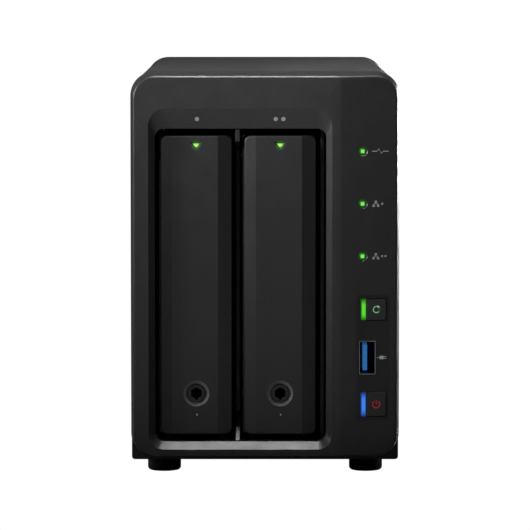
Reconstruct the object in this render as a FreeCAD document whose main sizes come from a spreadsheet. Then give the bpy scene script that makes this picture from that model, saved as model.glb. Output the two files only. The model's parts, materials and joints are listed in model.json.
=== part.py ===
import FreeCAD, Part
import math
import os
import re
import Sketcher
from FreeCAD import Rotation, Vector

# A two-bay desktop network storage unit.  Millimetres, +Z up, the front faces -Y.
# The origin is the middle of the footprint, on the surface that the feet stand on.

DIMENSIONS = {
    # whole case
    "case_width": 103.5,
    "case_depth": 232,
    "case_height": 157,
    "foot_height": 7,
    "corner_radius": 9.3,
    "square_radius": 1.2,
    # front panel: a shell that tapers from its rim to its face
    "panel_depth": 16,
    "face_side_taper": 1.5,
    "face_top_taper": 1.3,
    "face_low": 9.9,
    "rim_low": 8.2,
    "face_radius": 8.6,
    "face_chamfer": 0.5,
    "panel_wall": 2.2,
    "panel_cavity": 11,
    # sloping control strip on the right of the face
    "bend_x": 28.9,
    "bend_blend": 0.4,
    "strip_slope": 0.158,
    "strip_edge_radius": 1.2,
    # bay mouth: sloping recess, then a straight tunnel
    "mouth_left": -44.5,
    "mouth_right": 25.6,
    "mouth_low": 12.8,
    "mouth_high": 143.3,
    "mouth_radius": 6.4,
    "mouth_low_radius": 5.6,
    "mouth_depth": 3,
    "bay_left": -42.1,
    "bay_right": 23.4,
    "bay_low": 15.6,
    "bay_high": 135.6,
    "bay_radius": 3.5,
    "tunnel_wall": 1.6,
    # controls on the strip
    "lamp_x": 37.2,
    "lamp_high": 127,
    "lamp_pitch": 20.05,
    "lamp_size": 1.8,
    "lamp_recess": 1.65,
    "lamp_recess_depth": 0.75,
    "lamp_recess_slope": 0.3,
    "lamp_sink": 0.4,
    "control_clearance": 0.25,
    "inset_left": 34.8,
    "inset_right": 47.9,
    "inset_low": 23.9,
    "inset_high": 72.1,
    "inset_depth": 0.4,
    "bar_left": 36.7,
    "button_left": 38.9,
    "button_right": 46.3,
    "copy_low": 62.4,
    "copy_high": 70.5,
    "power_low": 25.4,
    "power_high": 34.6,
    "button_proud": 0.3,
    "button_back": -107.2,
    "button_radius": 0.4,
    "button_edge": 0.2,
    "bar_gap": 0.2,
    "stem_radius": 1.5,
    "stem_length": 1.2,
    "switch_half": 3,
    "switch_height": 2.2,
    "switch_cap_radius": 1.7,
    "switch_cap_travel": 0.7,
    "usb_left": 36.4,
    "usb_right": 41.9,
    "usb_low": 41.9,
    "usb_high": 54,
    "usb_shell": 0.35,
    "usb_sink": 0.3,
    "usb_back_wall": 1.5,
    "opening_radius": 0.2,
    "tongue_left": 37.4,
    "tongue_right": 39.1,
    "tongue_sink": 1,
    "tongue_inset": 1.1,
    "control_board_y": -102,
    "control_board_left": 31,
    "control_board_right": 48.2,
    "control_board_low": 18,
    "control_board_high": 134,
    "board_thickness": 1.6,
    # sheet parts behind the front panel
    "cover_lip": 0.25,
    "cover_thickness": 1.2,
    "pan_thickness": 1.2,
    "pan_flange": 13,
    "pan_gap": 0.05,
    "rear_thickness": 3,
    "vent_width": 2.6,
    "vent_length": 26,
    "vent_pitch": 6,
    "side_vent_y": -72,
    "side_vent_low": 24,
    "floor_vent_y": -60,
    "floor_vent_left": -34,
    "floor_vent_right": 4,
    "flange_thickness": 0.36,
    "window_gap": 0.25,
    "window_radius": 0.6,
    "key_slot_left": -44.5,
    "key_slot_right": -41.5,
    "key_slot_low": 22,
    "key_slot_high": 29,
    "screw_hole": 1.9,
    "screw_seat": 3.2,
    "screw_seat_depth": 2,
    "screw_inset": 7,
    "screw_rise": 4,
    "reset_hole": 2,
    "cross_long": 1.6,
    "cross_wide": 0.35,
    # feet
    "foot_radius": 6.5,
    "foot_x": 39.5,
    "foot_y": 77,
    "foot_rounding": 1.4,
    # drive cage
    "cage_front": -99.6,
    "cage_back": 58,
    "cage_sheet": 1.4,
    "cage_left": -42.1,
    "cage_right": 21.3,
    "cage_low": 17.2,
    "cage_high": 133.9,
    "divider_left": -11.4,
    "divider_right": -9.5,
    "divider_front": -112.4,
    "divider_hollow": 22,
    "prong_height": 4.8,
    "prong_lean": 1.6,
    "prong_slope": 4,
    "cage_hole_radius": 8,
    "cage_hole_y": -78,
    "cage_hole_z": 36,
    "cage_hole_step_y": 28,
    "cage_hole_step_z": 26,
    "plate_slot_half": 9,
    "plate_slot_length": 12,
    "plate_slot_step": 22,
    "plate_slot_y": -82,
    "rail_reach": 12.4,
    "rail_width": 2,
    "rail_gap": 0.3,
    # trays and drives
    "left_bay_x": -26.3,
    "right_bay_x": 5.8,
    "handle_half": 13.6,
    "handle_low": 18.2,
    "handle_high": 132.8,
    "handle_front": -112,
    "handle_back": -106.5,
    "handle_radius": 2.5,
    "handle_wall": 1.6,
    "handle_skin": 2.2,
    "left_facet": 4.3,
    "left_facet_drop": 1.3,
    "right_facet": 5.3,
    "right_facet_drop": 1.7,
    "edge_rounding": 0.55,
    "hinge_y": -107.6,
    "hinge_z": 127.5,
    "pin_radius": 1,
    "pin_play": 0.08,
    "lug_reach": 9.4,
    "lug_width": 2,
    "lug_half": 2.2,
    "lug_tail": 1,
    "arm_reach": 11.4,
    "arm_width": 1.6,
    "arm_radius": 1.8,
    "lock_z": 34,
    "lock_radius": 3.35,
    "lock_play": 0.2,
    "lock_boss": 6.2,
    "lock_recess": 3.7,
    "lock_recess_depth": 1,
    "lock_rim_width": 1.3,
    "lock_rim_depth": 0.7,
    "lock_sink": 0.25,
    "lock_back": -102.6,
    "collar_radius": 4.45,
    "collar_gap": 0.4,
    "collar_thickness": 0.9,
    "cam_half": 1.6,
    "cam_low": 4.4,
    "cam_high": 2,
    "cam_thickness": 1.4,
    "hex_flat": 4,
    "hex_depth": 8,
    "keyway_half": 0.4,
    "keyway_low": 2.6,
    "groove_half": 0.25,
    "groove_high": 5.7,
    "groove_low": 7.8,
    "groove_depth": 0.3,
    "mark_z": 129.1,
    "mark_half": 1.5,
    "mark_height": 1.75,
    "mark_gap": 0.1,
    "mark_slope": 0.4,
    "mark_sink": 0.45,
    "tray_left": 14.3,
    "tray_right": 13.3,
    "tray_low": 18.2,
    "tray_high": 132.4,
    "tray_front": -105.8,
    "tray_back": 40,
    "tray_sheet": 1.2,
    "tray_bar": 2,
    "tray_shoulder": 4.5,
    "tray_neck": 4,
    "tray_key_hole": 5,
    "tray_vent_left": -10,
    "tray_vent_step": 11,
    "tray_vent_width": 9,
    "tray_vent_low": 45,
    "tray_vent_rise": 8,
    "tray_vent_height": 5,
    "tray_window_y": -84,
    "tray_window_length": 50,
    "tray_window_step_y": 60,
    "tray_window_z": 32,
    "tray_window_height": 38,
    "tray_window_step_z": 48,
    "drive_front": -98,
    "drive_length": 147,
    "drive_low": 24.7,
    "drive_height": 101.6,
    "drive_half": 13.05,
    "drive_lid_set": 2,
    "drive_board_set": 1.8,
    "drive_skirt": 6,
    "drive_hole_front": 41.3,
    "drive_hole_back": 117.5,
    "drive_hole_reach": 47.6,
    "drive_screw_hole": 1.8,
    "drive_screw_head": 2.6,
    "drive_screw_shank": 1.5,
    "drive_screw_thick": 0.9,
    "drive_screw_length": 4,
    "drive_play": 0.2,
    "drive_board_front": 36,
    "drive_board_back": 7,
    "drive_board_low": 9,
    "drive_board_high": 12,
    "lid_margin": 1,
    "lid_corner": 4,
    "lid_sheet": 1,
    "dish_front": 7,
    "dish_back": 34,
    "dish_edge": 6,
    "dish_corner": 30,
    "dish_height": 0.9,
    "plug_notch_low": 10,
    "plug_notch_high": 55,
    "plug_notch_deep": 9,
    "plug_notch_long": 6,
    "platter_y": -43,
    "platter_chamber": 46,
    "platter_chamber_depth": 17.5,
    "platter_radius": 44.5,
    "platter_thickness": 1.3,
    "platter_pitch": 5,
    "platter_start": -3,
    "hub_radius": 13,
    # boards
    "main_board_x": 46,
    "main_board_front": -80,
    "main_board_back": 112,
    "main_board_low": 14,
    "main_board_high": 146,
    "chip_front": -12,
    "chip_back": 14,
    "chip_low": 72,
    "chip_high": 98,
    "chip_height": 2.4,
    "sink_front": -22,
    "sink_back": 24,
    "sink_low": 62,
    "sink_base": 2,
    "fin_pitch": 5,
    "fin_width": 1.4,
    "fin_height": 10,
    "memory_front": -66,
    "memory_back": 1.6,
    "memory_low": 116,
    "memory_high": 142,
    "memory_rise": 4,
    "memory_thickness": 1.2,
    "holder_low": 110,
    "holder_height": 6.2,
    "cell_y": -50,
    "cell_z": 40,
    "cell_radius": 10,
    "cell_thickness": 3.2,
    "backplane_y": 58,
    "air_left": 4,
    "air_right": 12,
    "air_low": 84,
    "air_pitch": 18,
    "air_height": 14,
    "socket_left": 0.6,
    "socket_right": 7,
    "socket_reach": 5,
    "socket_low": 11.5,
    "socket_high": 52.5,
    "contact_left": 2.8,
    "contact_right": 4.8,
    "contact_back": 0.8,
    "contact_inset": 1.9,
    # fan
    "fan_x": -12,
    "fan_z": 104,
    "fan_size": 70,
    "fan_depth": 20,
    "fan_bore": 32.5,
    "fan_hub": 14,
    "fan_screw": 30.5,
    "fan_corner": 3,
    "spoke_width": 2.6,
    "ring_width": 3.4,
    "ring_pitch": 5.4,
    "strut_width": 3,
    "strut_depth": 2.4,
    "strut_gap": 0.3,
    "spindle_radius": 1.5,
    "spindle_length": 12,
    "rotor_radius": 31.2,
    "rotor_front": 2,
    "rotor_wall": 1.6,
    "bearing_radius": 3.4,
    "bearing_play": 0.3,
    "blade_thickness": 1.4,
    "blade_root": 15,
    "blade_tip": 21,
    "root_pitch": 48,
    "tip_pitch": 30,
    "case_screw_head": 2.9,
    "case_screw_shank": 1.5,
    "case_screw_thick": 1.7,
    "case_screw_sink": 0.2,
    "fan_screw_length": 11,
    "rear_screw_length": 6,
    # rear ports, in a column above each other on the right
    "port_back": 115.6,
    "lan_width": 13.5,
    "lan_height": 16,
    "lan_depth": 21,
    "lan_low_z": 42,
    "lan_high_z": 62,
    "lan_hole_left": 2,
    "lan_hole_right": 9.6,
    "lan_hole_half": 5.9,
    "lan_tab_right": 11.8,
    "lan_tab_half": 3.1,
    "port_hole_depth": 14,
    "usb_rear_width": 7.2,
    "usb_rear_height": 14.4,
    "usb_rear_depth": 17,
    "usb_rear_shell": 0.5,
    "usb_rear_half": 6.5,
    "rear_tongue_left": 1.7,
    "rear_tongue_right": 3.5,
    "rear_tongue_half": 5.4,
    "rear_tongue_sink": 0.8,
    "usb_rear_low_z": 83,
    "usb_rear_high_z": 101,
    "jack_z": 22,
    "jack_size": 12,
    "jack_depth": 14,
    "jack_hole": 3.6,
    "jack_hole_depth": 11,
    "jack_contact": 1,
    "jack_contact_sink": 1.5,
    "reset_z": 118,
    "reset_x": 41,
    "reset_radius": 1.6,
    "reset_head": 2.6,
    "reset_head_thick": 1.5,
    "reset_length": 5.8,
    "reset_root": 7,
    "reset_travel": 0.9,
    "reset_switch_depth": 5.1,
    "reset_switch_half": 3,
}

doc = FreeCAD.newDocument("network_storage")
sheet = doc.addObject("Spreadsheet::Sheet", "dims")
for row, (alias, number) in enumerate(DIMENSIONS.items(), start=1):
    sheet.set(f"A{row}", alias)
    sheet.set(f"B{row}", str(number))
    sheet.setAlias(f"B{row}", alias)
doc.recompute()

HALF = "(case_width / 2)"
FRONT = "(-case_depth / 2)"
BACK = "(case_depth / 2)"
RIM = "(panel_depth - case_depth / 2)"
REAR = "(case_depth / 2 - rear_thickness)"

BAYS = ("left_bay_x", "right_bay_x")

nodes = []


def bind(text):
    """An expression on the sheet's cells, from a formula in plain cell names."""

    def cell(word):
        return f"dims.{word[0]}" if word[0] in DIMENSIONS else word[0]

    return re.sub(r"[a-z_]+", cell, str(text))


def value(text):
    """The number that a formula in plain cell names gives now."""
    result = sheet.evalExpression(str(text))
    return float(getattr(result, "Value", result))


def shifted(base, amount):
    """A formula moved by a signed amount."""
    return f"({base} + ({amount}))"


def node(label, item):
    """Name a finished sub-part."""
    item.Label = label
    nodes.append(item)
    return item


# ---------------------------------------------------------------- Part primitives and booleans

def box(x, y, z):
    """A block between pairs of formulas."""
    item = doc.addObject("Part::Box", "block")
    for size, axis, (low, high) in zip(("Length", "Width", "Height"), "xyz", (x, y, z)):
        item.setExpression(size, bind(f"({high}) - ({low})"))
        item.setExpression(f"Placement.Base.{axis}", bind(low))
    return item


TURNS = {
    "x": Rotation(Vector(0, 1, 0), 90),
    "y": Rotation(Vector(1, 0, 0), -90),
    "z": Rotation(),
}


def aim(item, axis, place):
    """Point a round primitive along an axis and put its start at a place."""
    item.Placement.Rotation = TURNS[axis]
    for letter, formula in zip("xyz", place):
        item.setExpression(f"Placement.Base.{letter}", bind(formula))
    return item


def rod(axis, place, radius, length):
    item = doc.addObject("Part::Cylinder", "rod")
    item.setExpression("Radius", bind(radius))
    item.setExpression("Height", bind(length))
    return aim(item, axis, place)


def fuse(*items):
    item = doc.addObject("Part::MultiFuse", "joined")
    item.Shapes = list(items)
    item.Refine = True
    return item


def group(*items):
    """Separate solids that share a node."""
    item = doc.addObject("Part::Compound", "group")
    item.Links = list(items)
    return item


def cut(base, *tools):
    item = doc.addObject("Part::Cut", "cut")
    item.Base = base
    item.Tool = tools[0] if len(tools) == 1 else fuse(*tools)
    return item


# ---------------------------------------------------------------- sketches and PartDesign features

def new_body(name):
    return doc.addObject("PartDesign::Body", name)


def sketch(body, name, plane, offset):
    """A sketch on one of the body's own origin planes, offset along +X, +Y or +Z."""
    item = body.newObject("Sketcher::SketchObject", name)
    support = next(plane_item for plane_item in body.Origin.OriginFeatures if plane_item.Role == plane)
    item.AttachmentSupport = (support, [""])
    item.MapMode = "FlatFace"
    sign = "-1 * " if plane == "XZ_Plane" else ""
    item.setExpression("AttachmentOffset.Base.z", bind(f"{sign}({offset})"))
    return item


def pin(item, kind, index, end, formula):
    """Hold one coordinate of a sketch point at a formula."""
    number = item.addConstraint(Sketcher.Constraint(kind, -1, 1, index, end, value(formula)))
    item.setExpression(f"Constraints[{number}]", bind(formula))


def polygon(item, points):
    """A closed run of straight lines whose corners are pinned to formulas."""
    numbers = [Vector(value(across), value(up), 0) for across, up in points]
    first = item.GeometryCount
    count = len(points)
    for index in range(count):
        item.addGeometry(Part.LineSegment(numbers[index], numbers[(index + 1) % count]), False)
    for index in range(count):
        follower = first + (index + 1) % count
        item.addConstraint(Sketcher.Constraint("Coincident", first + index, 2, follower, 1))
    for index, (across, up) in enumerate(points):
        pin(item, "DistanceX", first + index, 1, across)
        pin(item, "DistanceY", first + index, 1, up)


def rounded(item, left, low, right, high, radius, low_radius=None):
    """A rectangle with round corners; the two low corners may have their own radius."""
    corners = [(left, low), (right, low), (right, high), (left, high)]
    radii = [low_radius or radius, low_radius or radius, radius, radius]
    middles = [(1, 1), (-1, 1), (-1, -1), (1, -1)]
    numbers = [Vector(value(across), value(up), 0) for across, up in corners]
    sizes = [value(formula) for formula in radii]
    first = item.GeometryCount
    along = [Vector(1, 0, 0), Vector(0, 1, 0), Vector(-1, 0, 0), Vector(0, -1, 0)]
    for side in range(4):
        after = (side + 1) % 4
        start = numbers[side] + along[side] * sizes[side]
        end = numbers[after] - along[side] * sizes[after]
        item.addGeometry(Part.LineSegment(start, end), False)
    for corner in range(4):
        centre = numbers[corner] + Vector(*middles[corner], 0) * sizes[corner]
        circle = Part.Circle(centre, Vector(0, 0, 1), sizes[corner])
        begin = math.pi + corner * math.pi / 2
        item.addGeometry(Part.ArcOfCircle(circle, begin, begin + math.pi / 2), False)
    for corner in range(4):
        before = first + (corner - 1) % 4
        item.addConstraint(Sketcher.Constraint("Tangent", before, 2, first + 4 + corner, 1))
        item.addConstraint(Sketcher.Constraint("Tangent", first + 4 + corner, 2, first + corner, 1))
        number = item.addConstraint(Sketcher.Constraint("Radius", first + 4 + corner, sizes[corner]))
        item.setExpression(f"Constraints[{number}]", bind(radii[corner]))
    for side, kind in enumerate(("Horizontal", "Vertical", "Horizontal", "Vertical")):
        item.addConstraint(Sketcher.Constraint(kind, first + side))
    pin(item, "DistanceY", first, 1, low)
    pin(item, "DistanceX", first + 1, 1, right)
    pin(item, "DistanceY", first + 2, 1, high)
    pin(item, "DistanceX", first + 3, 1, left)


def disc(item, across, up, radius):
    """A full circle in a sketch."""
    circle = Part.Circle(Vector(value(across), value(up), 0), Vector(0, 0, 1), value(radius))
    index = item.addGeometry(circle, False)
    number = item.addConstraint(Sketcher.Constraint("Radius", index, value(radius)))
    item.setExpression(f"Constraints[{number}]", bind(radius))
    pin(item, "DistanceX", index, 3, across)
    pin(item, "DistanceY", index, 3, up)


def extrude(body, kind, profile, length, forward=True):
    """Pad or pocket a sketch towards +X, +Y or +Z, or the other way."""
    item = body.newObject(f"PartDesign::{kind}", kind)
    item.Profile = profile
    item.setExpression("Length", bind(length))
    faces_back = body_plane(profile) == "XZ_Plane"
    item.Reversed = (faces_back == forward) if kind == "Pad" else (faces_back != forward)
    return keep(body, item, kind == "Pad")


def body_plane(profile):
    return profile.AttachmentSupport[0][0].Role


def keep(body, item, grows):
    """Recompute a feature and make sure that it added or removed material."""
    before = body.Shape.Volume if body.Shape.Solids else 0
    doc.recompute()
    body.Tip = item
    doc.recompute()
    after = body.Shape.Volume
    if (after <= before) if grows else (after >= before):
        raise RuntimeError(f"{body.Name}: {item.Name} did not change the solid")
    return item


def dress(body, kind, size, chosen, depth=None):
    """Round or chamfer the chosen edges of the last feature; a chamfer may have its own depth."""
    base = body.Tip
    names = [f"Edge{number}" for number, edge in enumerate(base.Shape.Edges, start=1) if chosen(edge)]
    item = body.newObject(f"PartDesign::{kind}", kind)
    item.Base = (base, names)
    item.setExpression("Radius" if kind == "Fillet" else "Size", bind(size))
    if depth:
        item.ChamferType = "Two distances"
        item.setExpression("Size2", bind(depth))
    doc.recompute()
    if not names or "Invalid" in item.State:
        raise RuntimeError(f"{body.Name}: {item.Name} failed on {names}")
    body.Tip = item
    doc.recompute()
    return item


def loft(body, kind, first, *others):
    item = body.newObject(f"PartDesign::{kind}", kind)
    item.Profile = first
    item.Sections = list(others)
    item.Ruled = True
    return keep(body, item, kind.startswith("Additive"))


def spans(edge, axis):
    """How far an edge reaches along an axis."""
    bounds = edge.BoundBox
    return {"x": bounds.XLength, "y": bounds.YLength, "z": bounds.ZLength}[axis]


def flat_at(edge, axis, place, slack=1e-3):
    """Whether an edge lies in the plane across an axis at a place."""
    bounds = edge.BoundBox
    low, high = {"x": (bounds.XMin, bounds.XMax), "y": (bounds.YMin, bounds.YMax),
                 "z": (bounds.ZMin, bounds.ZMax)}[axis]
    return abs(low - place) < slack and abs(high - place) < slack


# ---------------------------------------------------------------- front panel

BUTTON_ROWS = {
    "copy": ("copy_low", "copy_high"),
    "power": ("power_low", "power_high"),
}
LAMP_COUNT = 3


def strip_y(across, extra="0"):
    """The sloping strip's surface at a place across it, or a depth behind it."""
    return f"({FRONT} + strip_slope * (({across}) - bend_x)) + ({extra})"


def build_front_panel():
    body = new_body("front_panel")
    rim = sketch(body, "rim", "XZ_Plane", RIM)
    rounded(rim, f"-{HALF}", "rim_low", HALF, "case_height", "corner_radius")
    sections = []
    for name, back, inset in (("shoulder", "face_chamfer", "0"), ("face", "0", "face_chamfer")):
        section = sketch(body, name, "XZ_Plane", f"{FRONT} + {back}")
        rounded(section, f"face_side_taper + {inset} - {HALF}", f"face_low + {inset}",
                f"{HALF} - face_side_taper - {inset}", f"case_height - face_top_taper - {inset}",
                f"face_radius - {inset}")
        sections.append(section)
    loft(body, "AdditiveLoft", rim, *sections)

    wedge = sketch(body, "strip_slope_cut", "XY_Plane", "0")
    outside = f"({HALF} + 1)"
    polygon(wedge, [("bend_x", FRONT), ("bend_x", f"{FRONT} - 1"), (outside, f"{FRONT} - 1"),
                    (outside, strip_y(outside))])
    extrude(body, "Pocket", wedge, "case_height + 1")
    side_x = value(f"{HALF} - face_side_taper")
    dress(body, "Fillet", "strip_edge_radius",
          lambda edge: spans(edge, "z") > 100 and edge.CenterOfMass.x > side_x - 1
          and edge.CenterOfMass.y < value(FRONT) + 6)

    blend = sketch(body, "bend_blend_cut", "XY_Plane", "0")
    start = "(bend_x - bend_blend)"
    end = "(bend_x + bend_blend)"
    polygon(blend, [(start, FRONT), (start, f"{FRONT} - 1"), (end, f"{FRONT} - 1"), (end, strip_y(end))])
    extrude(body, "Pocket", blend, "case_height + 1")

    mouth = sketch(body, "mouth", "XZ_Plane", FRONT)
    rounded(mouth, "mouth_left", "mouth_low", "mouth_right", "mouth_high", "mouth_radius",
            "mouth_low_radius")
    throat = sketch(body, "throat", "XZ_Plane", f"{FRONT} + mouth_depth")
    rounded(throat, "bay_left", "bay_low", "bay_right", "bay_high", "bay_radius")
    loft(body, "SubtractiveLoft", mouth, throat)
    tunnel = sketch(body, "tunnel", "XZ_Plane", f"{FRONT} + mouth_depth - 0.01")
    rounded(tunnel, "bay_left", "bay_low", "bay_right", "bay_high", "bay_radius")
    extrude(body, "Pocket", tunnel, "panel_depth")

    cavity = sketch(body, "cavity", "XZ_Plane", RIM)
    inset = "(panel_wall + 0.6)"
    rounded(cavity, f"{inset} - {HALF}", f"rim_low + {inset}", f"{HALF} - {inset}",
            f"case_height - {inset}", "corner_radius - panel_wall")
    rounded(cavity, "bay_left - tunnel_wall", "bay_low - tunnel_wall", "bay_right + tunnel_wall",
            "mouth_high + 2 * tunnel_wall", "bay_radius")
    extrude(body, "Pocket", cavity, "panel_cavity", forward=False)

    inset_cut = sketch(body, "control_inset", "XY_Plane", "inset_low")
    polygon(inset_cut, [("inset_left", strip_y("inset_left", "inset_depth")),
                        ("inset_left", strip_y("inset_left", "-1")),
                        ("inset_right", strip_y("inset_right", "-1")),
                        ("inset_right", strip_y("inset_right", "inset_depth"))])
    extrude(body, "Pocket", inset_cut, "inset_high - inset_low")

    openings = sketch(body, "control_openings", "XZ_Plane", FRONT)
    gap = "control_clearance"
    for low, high in BUTTON_ROWS.values():
        rounded(openings, f"bar_left - {gap}", f"{low} - {gap}", f"button_right + {gap}",
                f"{high} + {gap}", f"button_radius + {gap}")
    around = "(usb_shell + control_clearance)"
    rounded(openings, f"usb_left - {around}", f"usb_low - {around}", f"usb_right + {around}",
            f"usb_high + {around}", "opening_radius")
    for step in range(LAMP_COUNT):
        centre = f"lamp_high - {step} * lamp_pitch"
        reach = f"(lamp_size / 2 + {gap})"
        rounded(openings, f"lamp_x - {reach}", f"{centre} - {reach}", f"lamp_x + {reach}",
                f"{centre} + {reach}", "opening_radius")
    extrude(body, "Pocket", openings, "panel_depth")

    dimples = sketch(body, "lamp_dimples", "XZ_Plane", FRONT)
    for step in range(LAMP_COUNT):
        disc(dimples, "lamp_x", f"lamp_high - {step} * lamp_pitch", "lamp_recess")
    extrude(body, "Pocket", dimples, f"{strip_y('lamp_x', 'lamp_recess_depth')} - {FRONT}")
    lamp_low = value("lamp_x - lamp_recess")
    lamp_high = value("lamp_x + lamp_recess")
    face_low = value(FRONT)
    dimple_floor = value(strip_y("lamp_x", "lamp_recess_depth"))

    def is_dimple_rim(edge):
        bounds = edge.BoundBox
        fits = abs(bounds.XMin - lamp_low) < 0.01 and abs(bounds.XMax - lamp_high) < 0.01
        return fits and bounds.YLength > 0.1 and face_low < edge.CenterOfMass.y < dimple_floor - 0.1

    dress(body, "Chamfer", "lamp_recess_slope", is_dimple_rim)
    node("front_panel", body)


# ---------------------------------------------------------------- case shells

def case_outline(item, lip="0", low_radius="square_radius"):
    """The case's cross-section: round top corners and square low ones."""
    rounded(item, f"{lip} - {HALF}", "foot_height", f"{HALF} - {lip}", f"case_height - {lip}",
            f"corner_radius - {lip}", low_radius)


def repeat(body, feature, axis, count, length):
    """Copy a feature evenly along an axis of the body's origin."""
    item = body.newObject("PartDesign::LinearPattern", "pattern")
    item.Originals = [feature]
    line = next(line_item for line_item in body.Origin.OriginFeatures if line_item.Role == axis)
    item.Direction = (line, [""])
    item.Occurrences = count
    item.setExpression("Length", bind(length))
    return keep(body, item, False)


SIDE_VENTS = 24
FLOOR_VENTS = 20
GRILLE_RINGS = 5


def build_case_cover():
    body = new_body("case_cover")
    outside = sketch(body, "outside", "XZ_Plane", RIM)
    case_outline(outside, "cover_lip")
    extrude(body, "Pad", outside, f"{REAR} - {RIM}")
    inside = sketch(body, "inside", "XZ_Plane", RIM)
    wall = "(cover_lip + cover_thickness)"
    rounded(inside, f"{wall} - {HALF}", "-corner_radius", f"{HALF} - {wall}", f"case_height - {wall}",
            f"corner_radius - {wall}")
    extrude(body, "Pocket", inside, "case_depth")
    # a row of upright intake slots low on each side
    slot = sketch(body, "side_vent", "YZ_Plane", f"-{HALF} - 1")
    rounded(slot, "side_vent_y", "side_vent_low", "side_vent_y + vent_width",
            "side_vent_low + vent_length", "vent_width / 2 - 0.01")
    vent = extrude(body, "Pocket", slot, "case_width + 2")
    repeat(body, vent, "Y_Axis", SIDE_VENTS, f"{SIDE_VENTS - 1} * vent_pitch")
    node("case_cover", body)


def build_base_pan():
    body = new_body("base_pan")
    side = f"({HALF} - cover_lip - cover_thickness - pan_gap)"
    trough = sketch(body, "trough", "XZ_Plane", RIM)
    inner = f"({side} - pan_thickness)"
    floor = "(foot_height + pan_thickness)"
    top = "(foot_height + pan_flange)"
    polygon(trough, [(f"-{side}", "foot_height"), (side, "foot_height"), (side, top), (inner, top),
                     (inner, floor), (f"-{inner}", floor), (f"-{inner}", top), (f"-{side}", top)])
    extrude(body, "Pad", trough, f"{REAR} - {RIM}")
    front = sketch(body, "front_flange", "XZ_Plane", RIM)
    reach = f"({inner} + 0.1)"
    below_cage = "cage_low - cage_sheet - rail_gap"
    polygon(front, [(f"-{reach}", f"{floor} - 0.1"), (reach, f"{floor} - 0.1"),
                    (reach, below_cage), (f"-{reach}", below_cage)])
    extrude(body, "Pad", front, "flange_thickness")
    # intake slots under the drives, in two rows
    slots = sketch(body, "floor_vent", "XY_Plane", "foot_height - 1")
    for left in ("floor_vent_left", "floor_vent_right"):
        rounded(slots, left, "floor_vent_y", f"{left} + vent_length", "floor_vent_y + vent_width",
                "vent_width / 2 - 0.01")
    vent = extrude(body, "Pocket", slots, "pan_thickness + 2")
    repeat(body, vent, "Y_Axis", FLOOR_VENTS, f"{FLOOR_VENTS - 1} * vent_pitch")
    node("base_pan", body)


PORT_CUTS = {
    # node: (x from, x to, z centre, z size) at the rear panel
    "lan_port_1": ("main_board_x - lan_width", "main_board_x", "lan_low_z", "lan_height"),
    "lan_port_2": ("main_board_x - lan_width", "main_board_x", "lan_high_z", "lan_height"),
    "usb_rear_1": ("main_board_x - usb_rear_width", "main_board_x", "usb_rear_low_z", "usb_rear_height"),
    "usb_rear_2": ("main_board_x - usb_rear_width", "main_board_x", "usb_rear_high_z", "usb_rear_height"),
    "power_jack": ("main_board_x - jack_size", "main_board_x", "jack_z", "jack_size"),
}


def spoke(turn, length, width, start, depth, share):
    """A flat bar turned about the fan's shaft; share says how much of it lies before the shaft."""
    item = doc.addObject("Part::Box", "spoke")
    item.setExpression("Length", bind(length))
    item.setExpression("Width", bind(depth))
    item.setExpression("Height", bind(width))
    item.Placement.Rotation = Rotation(Vector(0, 1, 0), turn)
    cosine = round(math.cos(math.radians(turn)), 6)
    sine = round(math.sin(math.radians(turn)), 6)
    before = f"{share} * ({length})"
    item.setExpression("Placement.Base.x", bind(f"fan_x - ({before} * {cosine} + {width} / 2 * {sine})"))
    item.setExpression("Placement.Base.y", bind(start))
    item.setExpression("Placement.Base.z", bind(f"fan_z - ({width} / 2 * {cosine} - {before} * {sine})"))
    return item


def grille_rings():
    """Ring-shaped openings with four spokes between them, for the fan's air."""
    rings = []
    for step in range(GRILLE_RINGS):
        outer = f"fan_bore - 1 - {step} * ring_pitch"
        start = ("fan_x", f"{REAR} - 1", "fan_z")
        rings.append(cut(rod("y", start, outer, "rear_thickness + 2"),
                         rod("y", start, f"{outer} - ring_width", "rear_thickness + 2")))
    spokes = [spoke(turn, "2 * fan_bore", "spoke_width", f"{REAR} - 2", "rear_thickness + 4", 0.5)
              for turn in (45, 135)]
    return cut(fuse(*rings), *spokes)


def corner_places():
    """The rear panel's four fixing screws."""
    side = f"({HALF} - screw_inset)"
    heights = ("foot_height + screw_rise", "case_height - screw_inset")
    return [(across, up) for up in heights for across in (f"-{side}", side)]


def fan_screw_places():
    shifts = ("-fan_screw", "fan_screw")
    return [(shifted("fan_x", across), shifted("fan_z", up)) for across in shifts for up in shifts]


def build_rear_panel():
    body = new_body("rear_plate")
    outline = sketch(body, "outline", "XZ_Plane", REAR)
    case_outline(outline)
    extrude(body, "Pad", outline, "rear_thickness")
    dress(body, "Chamfer", "face_chamfer", lambda edge: flat_at(edge, "y", value(BACK)))
    windows = sketch(body, "port_windows", "XZ_Plane", f"{REAR} - 1")
    for left, right, centre, size in PORT_CUTS.values():
        half = f"({size} / 2 + window_gap)"
        rounded(windows, f"{left} - window_gap", f"{centre} - {half}", f"{right} + window_gap",
                f"{centre} + {half}", "window_radius")
    rounded(windows, "key_slot_left", "key_slot_low", "key_slot_right", "key_slot_high", "window_radius")
    disc(windows, "reset_x", "reset_z", "reset_hole")
    for across, up in corner_places() + fan_screw_places():
        disc(windows, across, up, "screw_hole")
    extrude(body, "Pocket", windows, "rear_thickness + 2")
    heads = sketch(body, "screw_seats", "XZ_Plane", f"{BACK} - screw_seat_depth")
    for across, up in corner_places() + fan_screw_places():
        disc(heads, across, up, "screw_seat")
    extrude(body, "Pocket", heads, "screw_seat_depth + 1")
    node("rear_panel", cut(body, grille_rings()))


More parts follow.
